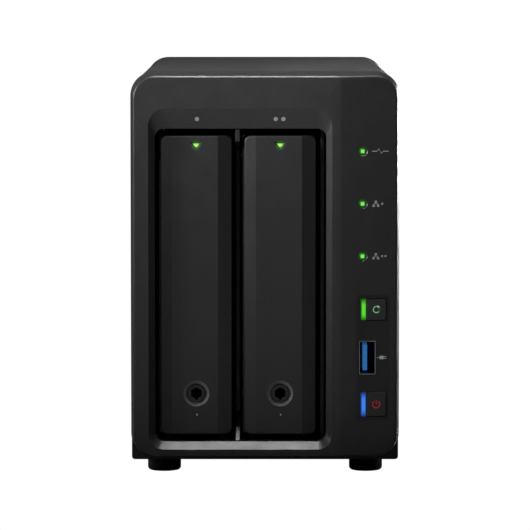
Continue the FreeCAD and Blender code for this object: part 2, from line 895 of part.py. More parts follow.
def build_feet():
    feet = []
    for end in ("-foot_y", "foot_y"):
        for side in ("-foot_x", "foot_x"):
            body = new_body("foot")
            circle = sketch(body, "outline", "XY_Plane", "0")
            disc(circle, "0", "0", "foot_radius")
            extrude(body, "Pad", circle, "foot_height")
            dress(body, "Fillet", "foot_rounding", lambda edge: flat_at(edge, "z", 0))
            body.setExpression("Placement.Base.x", bind(side))
            body.setExpression("Placement.Base.y", bind(end))
            feet.append(body)
    node("rubber_feet", group(*feet))


def screw(axis, place, head, shank, length, thick, sense=1):
    """A cross-recessed screw: the head's outer face is at a place, and the shank runs on from it."""
    number = "xyz".index(axis)
    face = place[number]
    inner = f"({face} + {sense} * {thick})"
    tip = f"({inner} + {sense} * {length})"
    floor = f"({face} + {sense} * {thick} / 2)"

    def between(near, far):
        """The low and high ends of a stretch along the screw."""
        return (near, far) if sense > 0 else (far, near)

    def at(formula):
        return tuple(formula if index == number else item for index, item in enumerate(place))

    top = rod(axis, at(between(face, inner)[0]), head, thick)
    stem = rod(axis, at(between(inner, tip)[0]), shank, length)
    slots = []
    for halves in (("cross_long", "cross_wide"), ("cross_wide", "cross_long")):
        sizes = list(halves)
        ranges = []
        for index in range(3):
            if index == number:
                ranges.append(between(f"{face} - {sense} * 0.01", floor))
            else:
                half = sizes.pop()
                ranges.append((f"{place[index]} - {half}", f"{place[index]} + {half}"))
        slots.append(box(*ranges))
    return cut(fuse(top, stem), *slots)


# ---------------------------------------------------------------- controls on the strip

def build_button(label, low, high):
    body = new_body(label)
    section = sketch(body, "section", "XY_Plane", low)
    proud = "inset_depth - button_proud"
    polygon(section, [("button_left", strip_y("button_left", proud)),
                      ("button_right", strip_y("button_right", proud)),
                      ("button_right", "button_back"), ("button_left", "button_back")])
    extrude(body, "Pad", section, f"{high} - {low}")
    right = value("button_right") - 0.1
    front = value(FRONT) + 4
    dress(body, "Fillet", "button_radius",
          lambda edge: spans(edge, "y") > 2 and edge.CenterOfMass.x > right)
    dress(body, "Fillet", "button_edge",
          lambda edge: edge.CenterOfMass.y < front and spans(edge, "y") < 2)
    stem = sketch(body, "stem", "XZ_Plane", "button_back")
    disc(stem, "(button_left + button_right) / 2", f"({low} + {high}) / 2", "stem_radius")
    extrude(body, "Pad", stem, "stem_length")
    node(label, body)


def build_light_bar(label, low, high):
    """A light guide that fills the slot beside a button and reaches the control board."""
    body = new_body(label)
    section = sketch(body, "section", "XY_Plane", low)
    right = "(button_left - bar_gap)"
    proud = "inset_depth - button_proud"
    polygon(section, [("bar_left", strip_y("bar_left", proud)), (right, strip_y(right, proud)),
                      (right, "control_board_y"), ("bar_left", "control_board_y")])
    extrude(body, "Pad", section, f"{high} - {low}")
    left = value("bar_left") + 0.1
    dress(body, "Fillet", "button_radius",
          lambda edge: spans(edge, "y") > 2 and edge.CenterOfMass.x < left)
    node(label, body)


def build_controls():
    for name, (low, high) in BUTTON_ROWS.items():
        build_button(f"{name}_button", low, high)
        build_light_bar(f"{name}_light_bar", low, high)
    pipes = []
    for step in range(LAMP_COUNT):
        centre = f"(lamp_high - {step} * lamp_pitch)"
        pipes.append(box(("lamp_x - lamp_size / 2", "lamp_x + lamp_size / 2"),
                         (strip_y("lamp_x", "lamp_sink"), "control_board_y"),
                         (f"{centre} - lamp_size / 2", f"{centre} + lamp_size / 2")))
    node("status_light_pipes", group(*pipes))

    shell = box(("usb_left - usb_shell", "usb_right + usb_shell"),
                (strip_y("usb_right", "usb_sink"), "control_board_y"),
                ("usb_low - usb_shell", "usb_high + usb_shell"))
    inside = "control_board_y - usb_back_wall"
    mouth = box(("usb_left", "usb_right"), (FRONT, inside), ("usb_low", "usb_high"))
    node("usb_port_front", cut(shell, mouth))
    tongue = box(("tongue_left", "tongue_right"), (strip_y("usb_right", "tongue_sink"), inside),
                 ("usb_low + tongue_inset", "usb_high - tongue_inset"))
    node("usb_tongue_front", tongue)
    board = box(("control_board_left", "control_board_right"),
                ("control_board_y", "control_board_y + board_thickness"),
                ("control_board_low", "control_board_high"))
    node("control_board", board)
    switches = []
    for low, high in BUTTON_ROWS.values():
        across = "((button_left + button_right) / 2)"
        up = f"(({low} + {high}) / 2)"
        top = "control_board_y - switch_height"
        casing = box((f"{across} - switch_half", f"{across} + switch_half"), (top, "control_board_y"),
                     (f"{up} - switch_half", f"{up} + switch_half"))
        cap = rod("y", (across, f"{top} - switch_cap_travel", up), "switch_cap_radius",
                  "switch_cap_travel + 0.1")
        switches.append(fuse(casing, cap))
    node("button_switches", group(*switches))


# ---------------------------------------------------------------- drive cage

def build_cage():
    depth = ("cage_front", "cage_back")
    low = "cage_low - cage_sheet"
    high = "cage_high + cage_sheet"
    walls = {
        "left": ("cage_left - cage_sheet", "cage_left"),
        "right": ("cage_right", "cage_right + cage_sheet"),
    }
    for side, across in walls.items():
        holes = []
        for row in range(4):
            for column in range(5):
                place = (f"{across[0]} - 1", f"cage_hole_y + {column} * cage_hole_step_y",
                         f"cage_hole_z + {row} * cage_hole_step_z")
                holes.append(rod("x", place, "cage_hole_radius", "cage_sheet + 2"))
        wall = box(across, depth, ("foot_height + pan_thickness", high))
        node(f"cage_{side}_wall", cut(wall, *holes))

    # the divider's front edge has a prong at each end, which slopes like the bay's mouth beside it
    body = new_body("divider_plate")
    plate = sketch(body, "plate", "YZ_Plane", "divider_left")
    waist = "divider_front + divider_hollow"
    polygon(plate, [("divider_front", low), ("cage_back", low), ("cage_back", high),
                    ("divider_front", high), ("divider_front + prong_lean", f"{high} - prong_height"),
                    (waist, f"{high} - prong_height - prong_slope"),
                    (waist, f"{low} + prong_height + prong_slope"),
                    ("divider_front + prong_height", f"{low} + prong_height")])
    extrude(body, "Pad", plate, "divider_right - divider_left")
    node("cage_divider", body)

    plates = {
        "cage_top_plate": ((walls["left"][0], walls["right"][1]), (high, f"{high} + cage_sheet")),
        "cage_bottom_plate": (("cage_left", "cage_right"), (f"{low} - cage_sheet", low)),
    }
    for label, (across, up) in plates.items():
        slots = []
        for centre in BAYS:
            for column in range(6):
                along = f"(plate_slot_y + {column} * plate_slot_step)"
                slots.append(box((f"{centre} - plate_slot_half", f"{centre} + plate_slot_half"),
                                 (along, f"{along} + plate_slot_length"), (f"{up[0]} - 1", f"{up[1]} + 1")))
        node(label, cut(box(across, depth, up), *slots))
    rails = []
    for centre in BAYS:
        for start in (f"{centre} - rail_reach", f"{centre} + rail_reach - 2 * rail_width"):
            rails.append(box((start, f"{start} + rail_width"), depth, (low, "tray_low - rail_gap")))
    node("guide_rails", group(*rails))


# ---------------------------------------------------------------- trays, handles, locks and drives

def build_handle(label, centre):
    body = new_body(label)
    section = sketch(body, "section", "XY_Plane", "handle_low")
    left = f"({centre} - handle_half)"
    right = f"({centre} + handle_half)"
    polygon(section, [(left, "handle_front + left_facet_drop"), (f"{left} + left_facet", "handle_front"),
                      (f"{right} - right_facet", "handle_front"), (right, "handle_front + right_facet_drop"),
                      (right, "handle_back"), (left, "handle_back")])
    extrude(body, "Pad", section, "handle_high - handle_low")
    dress(body, "Fillet", "handle_radius",
          lambda edge: spans(edge, "y") > 3 and spans(edge, "x") < 0.1 and spans(edge, "z") < 0.1)
    low = value("handle_low + handle_radius") + 0.1
    high = value("handle_high - handle_radius") - 0.1
    near_left = value(left) + 0.8
    near_right = value(right) - 0.8
    behind = value("handle_back") - 2

    def is_front_edge(edge):
        middle = edge.CenterOfMass
        outer = middle.z > high or middle.z < low or middle.x < near_left or middle.x > near_right
        return middle.y < behind and outer and spans(edge, "y") < 2.5

    dress(body, "Fillet", "edge_rounding", is_front_edge)

    inner = "(handle_front + handle_skin)"
    hollow = sketch(body, "hollow", "XZ_Plane", "handle_back")
    rounded(hollow, f"{left} + handle_wall", "handle_low + handle_wall", f"{right} - handle_wall",
            "handle_high - handle_wall", "handle_radius - handle_wall")
    extrude(body, "Pocket", hollow, f"handle_back - {inner}", forward=False)
    # hinge lugs, a boss round the lock and the pin's bore
    for name, start in (("left_lug", f"{centre} - lug_reach"),
                        ("right_lug", f"{centre} + lug_reach - lug_width")):
        lug = sketch(body, name, "YZ_Plane", start)
        root = f"{inner} - 0.5"
        polygon(lug, [(root, "hinge_z - lug_half"), ("hinge_y + lug_tail", "hinge_z - lug_half"),
                      ("hinge_y + lug_tail", "hinge_z + lug_half"), (root, "hinge_z + lug_half")])
        extrude(body, "Pad", lug, "lug_width")
    boss = sketch(body, "lock_boss", "XZ_Plane", f"{inner} - 0.5")
    disc(boss, centre, "lock_z", "lock_boss")
    extrude(body, "Pad", boss, f"handle_back - {inner} + 0.5")
    bore = sketch(body, "pin_bore", "YZ_Plane", left)
    disc(bore, "hinge_y", "hinge_z", "pin_radius + pin_play")
    extrude(body, "Pocket", bore, "2 * handle_half")
    # the lock's seat has a sloping rim, and a short groove points down from it
    seat = sketch(body, "lock_seat", "XZ_Plane", "handle_front")
    disc(seat, centre, "lock_z", "lock_recess")
    extrude(body, "Pocket", seat, "lock_recess_depth")
    face = value("handle_front")
    seat_radius = value("lock_recess")
    dress(body, "Chamfer", "lock_rim_width",
          lambda edge: flat_at(edge, "y", face) and abs(spans(edge, "z") - 2 * seat_radius) < 0.01
          and abs(spans(edge, "x") - 2 * seat_radius) < 0.01, "lock_rim_depth")
    barrel = sketch(body, "lock_bore", "XZ_Plane", "handle_front")
    disc(barrel, centre, "lock_z", "lock_radius + lock_play")
    rounded(barrel, f"{centre} - groove_half", "lock_z - groove_low", f"{centre} + groove_half",
            "lock_z - groove_high", "groove_half - 0.01")
    extrude(body, "Pocket", barrel, "groove_depth")
    through = sketch(body, "barrel_bore", "XZ_Plane", "handle_front")
    disc(through, centre, "lock_z", "lock_radius + lock_play")
    extrude(body, "Pocket", through, "panel_depth")
    window = sketch(body, "lamp_window", "XZ_Plane", "handle_front")
    polygon(window, triangle(centre, "mark_gap"))
    extrude(body, "Pocket", window, "handle_skin + 1")
    mark_low = value("mark_z - mark_height")
    mark_high = value("mark_z + mark_height")
    dress(body, "Chamfer", "mark_slope",
          lambda edge: flat_at(edge, "y", face) and mark_low < edge.CenterOfMass.z < mark_high
          and spans(edge, "z") < 4)
    node(label, body)


def triangle(centre, grow):
    """A triangle that points down, a little larger all round if it is a window."""
    top = f"(mark_z + mark_height / 2 + {grow})"
    point = f"mark_z - mark_height / 2 - 1.5 * {grow}"
    reach = f"(mark_half + 1.5 * {grow})"
    return [(f"{centre} - {reach}", top), (centre, point), (f"{centre} + {reach}", top)]


def tray_arms(centre):
    """Two arms that hold the handle's pin, each rising from the tray's front to a round eye."""
    pieces = []
    behind = "tray_front + tray_bar"
    for start in (f"{centre} - arm_reach", f"{centre} + arm_reach - arm_width"):
        x = (start, f"{start} + arm_width")
        pieces.append(box(x, ("tray_front", behind), ("hinge_z - 5", "hinge_z + 1")))
        pieces.append(box(x, ("hinge_y", behind), ("hinge_z - arm_radius", "hinge_z + 1")))
        pieces.append(rod("x", (start, "hinge_y", "hinge_z"), "arm_radius", "arm_width"))
    return pieces


def tray_openings(centre, left):
    """The lock's hole, the pin's bore, air slots in the front, and windows in the side."""
    openings = [rod("y", (centre, "tray_front - 1", "lock_z"), "tray_key_hole", "tray_bar + 2"),
                rod("x", (f"{centre} - handle_half", "hinge_y", "hinge_z"), "pin_radius", "2 * handle_half")]
    for column in range(2):
        start = f"({centre} + tray_vent_left + {column} * tray_vent_step)"
        for row in range(9):
            foot = f"(tray_vent_low + {row} * tray_vent_rise)"
            openings.append(box((start, f"{start} + tray_vent_width"), ("tray_front - 1", "tray_front + 3"),
                                (foot, f"{foot} + tray_vent_height")))
    through = (f"{left} - 1", f"{left} + tray_sheet + 1")
    for column in range(2):
        begin = f"(tray_window_y + {column} * tray_window_step_y)"
        for row in range(2):
            foot = f"(tray_window_z + {row} * tray_window_step_z)"
            openings.append(box(through, (begin, f"{begin} + tray_window_length"),
                                (foot, f"{foot} + tray_window_height")))
    for along, up in drive_screw_places():
        openings.append(rod("x", (f"{left} - 1", along, up), "drive_screw_hole", "tray_sheet + 2"))
    return openings


def build_tray(number, centre):
    left = f"({centre} - tray_left)"
    right = f"({centre} + tray_right)"
    across = (left, right)
    side = (left, f"{left} + tray_sheet")
    shoulder = "(tray_front + tray_shoulder)"
    neck = "hinge_z - tray_neck"
    gusset = cut(box((f"{right} - tray_bar", right), ("tray_front + 1", "tray_front + 7"),
                     ("tray_low", "tray_high")),
                 box((f"{right} - 3", f"{right} + 1"), ("tray_front", shoulder), (neck, "tray_high + 1")))
    frame = fuse(box(side, (shoulder, "tray_back"), ("tray_low", "tray_high")),
                 box(side, ("tray_front", f"{shoulder} + 0.5"), ("tray_low", neck)),
                 box(across, ("tray_front", "tray_back"), ("tray_low", "tray_low + tray_bar")),
                 box(across, (shoulder, "tray_back"), ("tray_high - tray_bar", "tray_high")),
                 box(across, ("tray_front", "tray_front + tray_bar"), ("tray_low", neck)),
                 gusset, *tray_arms(centre))
    node(f"tray_frame_{number}", cut(frame, *tray_openings(centre, left)))
    pin_place = (f"{centre} - arm_reach", "hinge_y", "hinge_z")
    node(f"hinge_pin_{number}", rod("x", pin_place, "pin_radius", "2 * arm_reach"))
    build_handle(f"tray_handle_{number}", centre)
    build_lock(f"tray_lock_{number}", centre)
    lens = new_body(f"lamp_lens_{number}")
    outline = sketch(lens, "outline", "XZ_Plane", "handle_front + mark_sink")
    polygon(outline, triangle(centre, "0"))
    extrude(lens, "Pad", outline, "handle_skin - mark_sink")
    node(f"tray_lamp_{number}", lens)
    build_drive(number, centre, left)


def build_lock(label, centre):
    """A barrel with a six-sided key socket and a small keyway, and a cam behind."""
    face = "handle_front + lock_sink"
    barrel = rod("y", (centre, face, "lock_z"), "lock_radius", f"lock_back - {face}")
    collar = rod("y", (centre, "handle_back + collar_gap", "lock_z"), "collar_radius", "collar_thickness")
    cam = box((f"{centre} - cam_half", f"{centre} + cam_half"), ("lock_back - cam_thickness", "lock_back"),
              ("lock_z - cam_low", "lock_z + cam_high"))
    socket = new_body(f"{label}_socket")
    outline = sketch(socket, "outline", "XZ_Plane", "handle_front - 1")
    corners = []
    for step in range(6):
        turn = math.radians(60 * step + 30)
        corners.append((f"{centre} + hex_flat / sqrt(3) * {round(math.cos(turn), 6)}",
                        f"lock_z + hex_flat / sqrt(3) * {round(math.sin(turn), 6)}"))
    polygon(outline, corners)
    extrude(socket, "Pad", outline, "hex_depth + 1")
    keyway = box((f"{centre} - keyway_half", f"{centre} + keyway_half"),
                 ("handle_front - 1", "handle_front + hex_depth"), ("lock_z - keyway_low", "lock_z - 1"))
    node(label, cut(fuse(barrel, collar, cam), socket, keyway))


def drive_screw_places():
    """Where the four screws enter the drive's side: length and height."""
    middle = "drive_low + drive_height / 2"
    return [(f"drive_front + {along}", shifted(middle, up))
            for along in ("drive_hole_front", "drive_hole_back")
            for up in ("-drive_hole_reach", "drive_hole_reach")]


PLATTERS = 3


def build_drive(number, centre, tray_side):
    """A disk drive on its side: casting, platters on their hub, stamped lid, circuit board, screws."""
    back = "(drive_front + drive_length)"
    high = "(drive_low + drive_height)"
    depth = ("drive_front", back)
    left = f"({centre} - drive_half)"
    right = f"({centre} + drive_half)"
    lid_face = f"({right} - drive_lid_set)"
    casting = box((f"{left} + drive_board_set", lid_face), depth, ("drive_low", high))
    skirt_side = (left, f"{left} + drive_board_set + drive_play")
    skirts = [box(skirt_side, depth, z)
              for z in (("drive_low", "drive_low + drive_skirt"), (f"{high} - drive_skirt", high))]
    notch = box((f"{left} - 1", f"{left} + plug_notch_deep"), (f"{back} - plug_notch_long", f"{back} + 1"),
                ("drive_low + plug_notch_low", "drive_low + plug_notch_high"))
    middle_z = "drive_low + drive_height / 2"
    chamber = rod("x", (f"{lid_face} - platter_chamber_depth", "platter_y", middle_z), "platter_chamber",
                  "platter_chamber_depth + 1")
    node(f"drive_body_{number}", cut(fuse(casting, *skirts), notch, chamber))

    hub_start = f"({lid_face} - platter_chamber_depth)"
    hub = rod("x", (hub_start, "platter_y", middle_z), "hub_radius", "platter_chamber_depth - 1")
    discs = [rod("x", (f"{centre} + platter_start + {step} * platter_pitch", "platter_y", middle_z),
                 "platter_radius", "platter_thickness") for step in range(PLATTERS)]
    node(f"drive_platters_{number}", fuse(hub, *discs))

    lid = new_body(f"lid_{number}")
    plate = sketch(lid, "plate", "YZ_Plane", lid_face)
    rounded(plate, "drive_front + lid_margin", "drive_low + lid_margin", f"{back} - lid_margin",
            f"{high} - lid_margin", "lid_corner")
    extrude(lid, "Pad", plate, "lid_sheet")
    raised = sketch(lid, "raised", "YZ_Plane", f"{lid_face} + lid_sheet")
    rounded(raised, "drive_front + dish_front", "drive_low + dish_edge", f"{back} - dish_back",
            f"{high} - dish_edge", "dish_corner")
    extrude(lid, "Pad", raised, "dish_height")
    node(f"drive_cover_{number}", lid)

    board = box((f"{left} + drive_play", f"{left} + drive_board_set"),
                ("drive_front + drive_board_front", f"{back} - drive_board_back"),
                ("drive_low + drive_board_low", f"{high} - drive_board_high"))
    node(f"drive_board_{number}", board)
    screws = [screw("x", (f"{tray_side} - drive_screw_thick", along, up), "drive_screw_head",
                    "drive_screw_shank", "drive_screw_length", "drive_screw_thick")
              for along, up in drive_screw_places()]
    node(f"drive_screws_{number}", group(*screws))


def build_drive_sockets():
    back = "(drive_front + drive_length)"
    sockets = []
    for centre in BAYS:
        side = f"({centre} - drive_half)"
        block = box((f"{side} + socket_left", f"{side} + socket_right"),
                    (f"{back} - socket_reach", "backplane_y"),
                    ("drive_low + socket_low", "drive_low + socket_high"))
        slot = box((f"{side} + contact_left", f"{side} + contact_right"),
                   (f"{back} - socket_reach - 1", f"{back} - contact_back"),
                   ("drive_low + socket_low + contact_inset", "drive_low + socket_high - contact_inset"))
        sockets.append(cut(block, slot))
    node("drive_sockets", group(*sockets))


# ---------------------------------------------------------------- boards and cooling

FINS = 10


def build_main_board():
    edge = "main_board_x"
    main = box((edge, f"{edge} + board_thickness"), ("main_board_front", "main_board_back"),
               ("main_board_low", "main_board_high"))
    node("main_board", main)
    chip_face = f"({edge} - chip_height)"
    node("processor", box((chip_face, edge), ("chip_front", "chip_back"), ("chip_low", "chip_high")))
    root = f"({chip_face} - sink_base)"
    depth = ("sink_front", "sink_back")
    fins = []
    for step in range(FINS):
        foot = f"(sink_low + {step} * fin_pitch)"
        fins.append(box((f"{root} - fin_height", f"{root} + 0.1"), depth, (foot, f"{foot} + fin_width")))
    plate = box((root, chip_face), depth, ("sink_low", f"sink_low + {FINS - 1} * fin_pitch + fin_width"))
    node("heat_sink", fuse(plate, *fins))
    along = ("memory_front", "memory_back")
    card = (f"{edge} - memory_rise - memory_thickness", f"{edge} - memory_rise")
    node("memory_module", box(card, along, ("memory_low", "memory_high")))
    node("memory_socket", box((f"{edge} - holder_height", edge), along, ("holder_low", "memory_low")))
    node("coin_cell", rod("x", (f"{edge} - cell_thickness", "cell_y", "cell_z"), "cell_radius",
                          "cell_thickness"))


def build_backplane():
    plane = box(("cage_left", "cage_right"), ("backplane_y", "backplane_y + board_thickness"),
                ("cage_low", "cage_high"))
    air = []
    for centre in BAYS:
        for row in range(2):
            foot = f"(air_low + {row} * air_pitch)"
            air.append(box((f"{centre} - air_left", f"{centre} + air_right"),
                           ("backplane_y - 1", "backplane_y + 3"), (foot, f"{foot} + air_height")))
    node("backplane_board", cut(plane, *air))


# ---------------------------------------------------------------- rear ports

def port_block(name, depth):
    """The plain block of a rear port, with its left and right sides and its middle height."""
    left, right, centre, size = PORT_CUTS[name]
    block = box((left, right), (f"port_back - {depth}", "port_back"),
                (f"{centre} - {size} / 2", f"{centre} + {size} / 2"))
    return block, left, right, centre


def build_lan_ports():
    mouth = ("port_back - port_hole_depth", "port_back + 1")
    for label in ("lan_port_1", "lan_port_2"):
        block, left, _, centre = port_block(label, "lan_depth")
        hole = box((f"{left} + lan_hole_left", f"{left} + lan_hole_right"), mouth,
                   (f"{centre} - lan_hole_half", f"{centre} + lan_hole_half"))
        tab = box((f"{left} + lan_hole_right - 0.5", f"{left} + lan_tab_right"), mouth,
                  (f"{centre} - lan_tab_half", f"{centre} + lan_tab_half"))
        node(label, cut(block, hole, tab))


def build_rear_usb():
    shells = []
    tongues = []
    bottom = "port_back - port_hole_depth"
    for name in ("usb_rear_1", "usb_rear_2"):
        block, left, right, centre = port_block(name, "usb_rear_depth")
        hole = box((f"{left} + usb_rear_shell", f"{right} - usb_rear_shell"), (bottom, "port_back + 1"),
                   (f"{centre} - usb_rear_half", f"{centre} + usb_rear_half"))
        shells.append(cut(block, hole))
        tongues.append(box((f"{left} + rear_tongue_left", f"{left} + rear_tongue_right"),
                           (bottom, "port_back - rear_tongue_sink"),
                           (f"{centre} - rear_tongue_half", f"{centre} + rear_tongue_half")))
    node("usb_ports_rear", group(*shells))
    node("usb_tongues_rear", group(*tongues))


def build_power_jack():
    block, _, _, centre = port_block("power_jack", "jack_depth")
    middle = "main_board_x - jack_size / 2"
    bottom = "(port_back - jack_hole_depth)"
    hole = rod("y", (middle, bottom, centre), "jack_hole", "jack_hole_depth + 1")
    contact = rod("y", (middle, f"{bottom} - 0.5", centre), "jack_contact",
                  "jack_hole_depth + 0.5 - jack_contact_sink")
    node("power_jack", fuse(cut(block, hole), contact))


def build_reset():
    root = f"({BACK} - reset_root)"
    place = ("reset_x", root, "reset_z")
    stem = rod("y", place, "reset_radius", "reset_length")
    head = rod("y", place, "reset_head", "reset_head_thick")
    node("reset_button", fuse(stem, head))
    front = f"({root} - reset_travel)"
    casing = box(("reset_x - reset_switch_half", "main_board_x"), (f"{front} - reset_switch_depth", front),
                 ("reset_z - reset_switch_half", "reset_z + reset_switch_half"))
    node("reset_switch", casing)


# ---------------------------------------------------------------- fan

BLADES = 7
STRUTS = 4
STRUT_TURN = 20


def build_fan_frame():
    half = "(fan_size / 2)"
    body = new_body("fan_housing")
    outline = sketch(body, "outline", "XZ_Plane", f"{REAR} - fan_depth")
    rounded(outline, f"fan_x - {half}", f"fan_z - {half}", f"fan_x + {half}", f"fan_z + {half}",
            "fan_corner")
    disc(outline, "fan_x", "fan_z", "fan_bore")
    for across, up in fan_screw_places():
        disc(outline, across, up, "screw_hole")
    extrude(body, "Pad", outline, "fan_depth")
    strut_start = f"({REAR} - strut_gap - strut_depth)"
    struts = [spoke(STRUT_TURN + 360 / STRUTS * turn, "fan_bore + 1", "strut_width", strut_start,
                    "strut_depth", 0) for turn in range(STRUTS)]
    hub = rod("y", ("fan_x", strut_start, "fan_z"), "fan_hub - 1", "strut_depth")
    spindle_start = f"{strut_start} + strut_gap - spindle_length + 0.4"
    spindle = rod("y", ("fan_x", spindle_start, "fan_z"), "spindle_radius", "spindle_length")
    node("fan_frame", fuse(body, hub, spindle, *struts))


def blade_section(radius, pitch, chord, middle):
    """A thin slanted section across a blade at a radius from the shaft."""
    thick = value("blade_thickness / 2")
    lean = math.radians(pitch)
    half = chord / 2
    ring = []
    for along, off in ((-half, -thick), (half, -thick), (half, thick), (-half, thick)):
        across = along * math.cos(lean) - off * math.sin(lean)
        depth = along * math.sin(lean) + off * math.cos(lean)
        ring.append(Vector(across, middle + depth, radius))
    return Part.makePolygon(ring + ring[:1])


def build_fan_rotor():
    """A cup on a bearing with slanted blades round it."""
    begin = value(f"{REAR} - fan_depth + rotor_front")
    span = value("fan_depth - 3 * rotor_front")
    hub = value("fan_hub")
    wall = value("rotor_wall")
    bearing = value("bearing_radius")
    middle = begin + span / 2
    root = blade_section(hub - wall + 0.1, value("root_pitch"), value("blade_root"), middle)
    tip = blade_section(value("rotor_radius - 1.2"), value("tip_pitch"), value("blade_tip"), middle)
    blade = Part.makeLoft([root, tip], True, True)

    def drum(radius, setback, length):
        return Part.makeCylinder(radius, length, Vector(0, begin + setback, 0), Vector(0, 1, 0))

    hollow = drum(hub - wall, 2, span - 2)
    bore = drum(value("spindle_radius + bearing_play"), 3, span)
    shape = drum(hub, 0, span).cut(hollow).fuse(drum(bearing, 1, span - 1)).cut(bore)
    for turn in range(BLADES):
        copy = blade.copy()
        copy.rotate(Vector(0, 0, 0), Vector(0, 1, 0), 360 / BLADES * turn)
        shape = shape.fuse(copy.cut(hollow))
    rotor = doc.addObject("Part::Feature", "rotor")
    rotor.Shape = shape.removeSplitter()
    rotor.Placement.Base = Vector(value("fan_x"), 0, value("fan_z"))
    node("fan_rotor", rotor)


def build_case_screws():
    face = f"({BACK} - case_screw_sink)"
    sets = {
        "fan_screws": (fan_screw_places(), "fan_screw_length"),
        "rear_screws": (corner_places(), "rear_screw_length"),
    }
    for label, (places, length) in sets.items():
        screws = [screw("y", (across, face, up), "case_screw_head", "case_screw_shank", length,
                        "case_screw_thick", -1) for across, up in places]
        node(label, group(*screws))


def check_and_export():
    doc.recompute()
    faults = [item.Name for item in doc.Objects if {"Invalid", "Error"} & set(item.State)]
    for item in nodes:
        if item.Shape.isNull() or not item.Shape.isValid() or not item.Shape.Solids:
            faults.append(item.Label)
    if faults:
        raise RuntimeError(f"failed objects: {faults}")
    if len({item.Label for item in nodes}) != len(nodes):
        raise RuntimeError("two sub-parts share a name")
    os.makedirs("parts", exist_ok=True)
    for item in nodes:
        item.Shape.exportStep(f"parts/{item.Label}.step")
    print(f"{len(nodes)} sub-parts written")


build_front_panel()
build_case_cover()
build_base_pan()
build_rear_panel()
build_feet()
build_controls()
build_cage()
for number, centre in enumerate(BAYS, start=1):
    build_tray(number, centre)
build_drive_sockets()
build_main_board()
build_backplane()
build_lan_ports()
build_rear_usb()
build_power_jack()
build_reset()
build_fan_frame()
build_fan_rotor()
build_case_screws()
check_and_export()
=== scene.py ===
import bmesh
import bpy
import json
import math
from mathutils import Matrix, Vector
from mathutils.bvhtree import BVHTree


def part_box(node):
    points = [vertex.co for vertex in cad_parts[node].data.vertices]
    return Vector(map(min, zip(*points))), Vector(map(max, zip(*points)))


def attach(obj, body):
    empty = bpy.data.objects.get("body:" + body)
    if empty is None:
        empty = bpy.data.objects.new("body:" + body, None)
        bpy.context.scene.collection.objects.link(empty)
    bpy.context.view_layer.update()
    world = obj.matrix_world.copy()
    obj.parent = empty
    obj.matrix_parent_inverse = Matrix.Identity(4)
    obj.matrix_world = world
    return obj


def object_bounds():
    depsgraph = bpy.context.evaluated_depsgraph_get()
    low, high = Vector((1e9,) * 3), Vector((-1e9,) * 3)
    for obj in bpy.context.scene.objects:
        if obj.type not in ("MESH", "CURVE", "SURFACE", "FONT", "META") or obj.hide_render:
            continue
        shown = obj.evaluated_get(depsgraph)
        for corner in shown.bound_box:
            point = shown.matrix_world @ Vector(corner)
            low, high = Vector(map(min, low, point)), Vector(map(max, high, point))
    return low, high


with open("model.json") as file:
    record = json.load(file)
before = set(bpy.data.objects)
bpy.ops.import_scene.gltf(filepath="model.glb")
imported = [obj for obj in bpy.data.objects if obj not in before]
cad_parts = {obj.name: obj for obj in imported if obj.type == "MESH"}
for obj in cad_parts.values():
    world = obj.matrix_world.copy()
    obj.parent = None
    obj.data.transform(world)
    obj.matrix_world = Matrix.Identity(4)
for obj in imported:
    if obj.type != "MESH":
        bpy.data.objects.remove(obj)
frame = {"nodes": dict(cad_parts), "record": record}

# A two-bay network storage unit: materials, soft edges, printed marks, floor, lights and camera.
# Metres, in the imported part's own frame: the front faces -Y and +Z is up.

MM = 0.001
CAD_BOX = [list(corner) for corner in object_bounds()]
FRONT_Y = CAD_BOX[0][1]
SLOT_OF = {row["node"]: row["material_slot"] for row in frame["record"]["subparts"]}
BODY_OF = {name: body for body, names in frame["record"]["behaviour"]["bodies"].items() for name in names}


# ---------------------------------------------------------------- materials

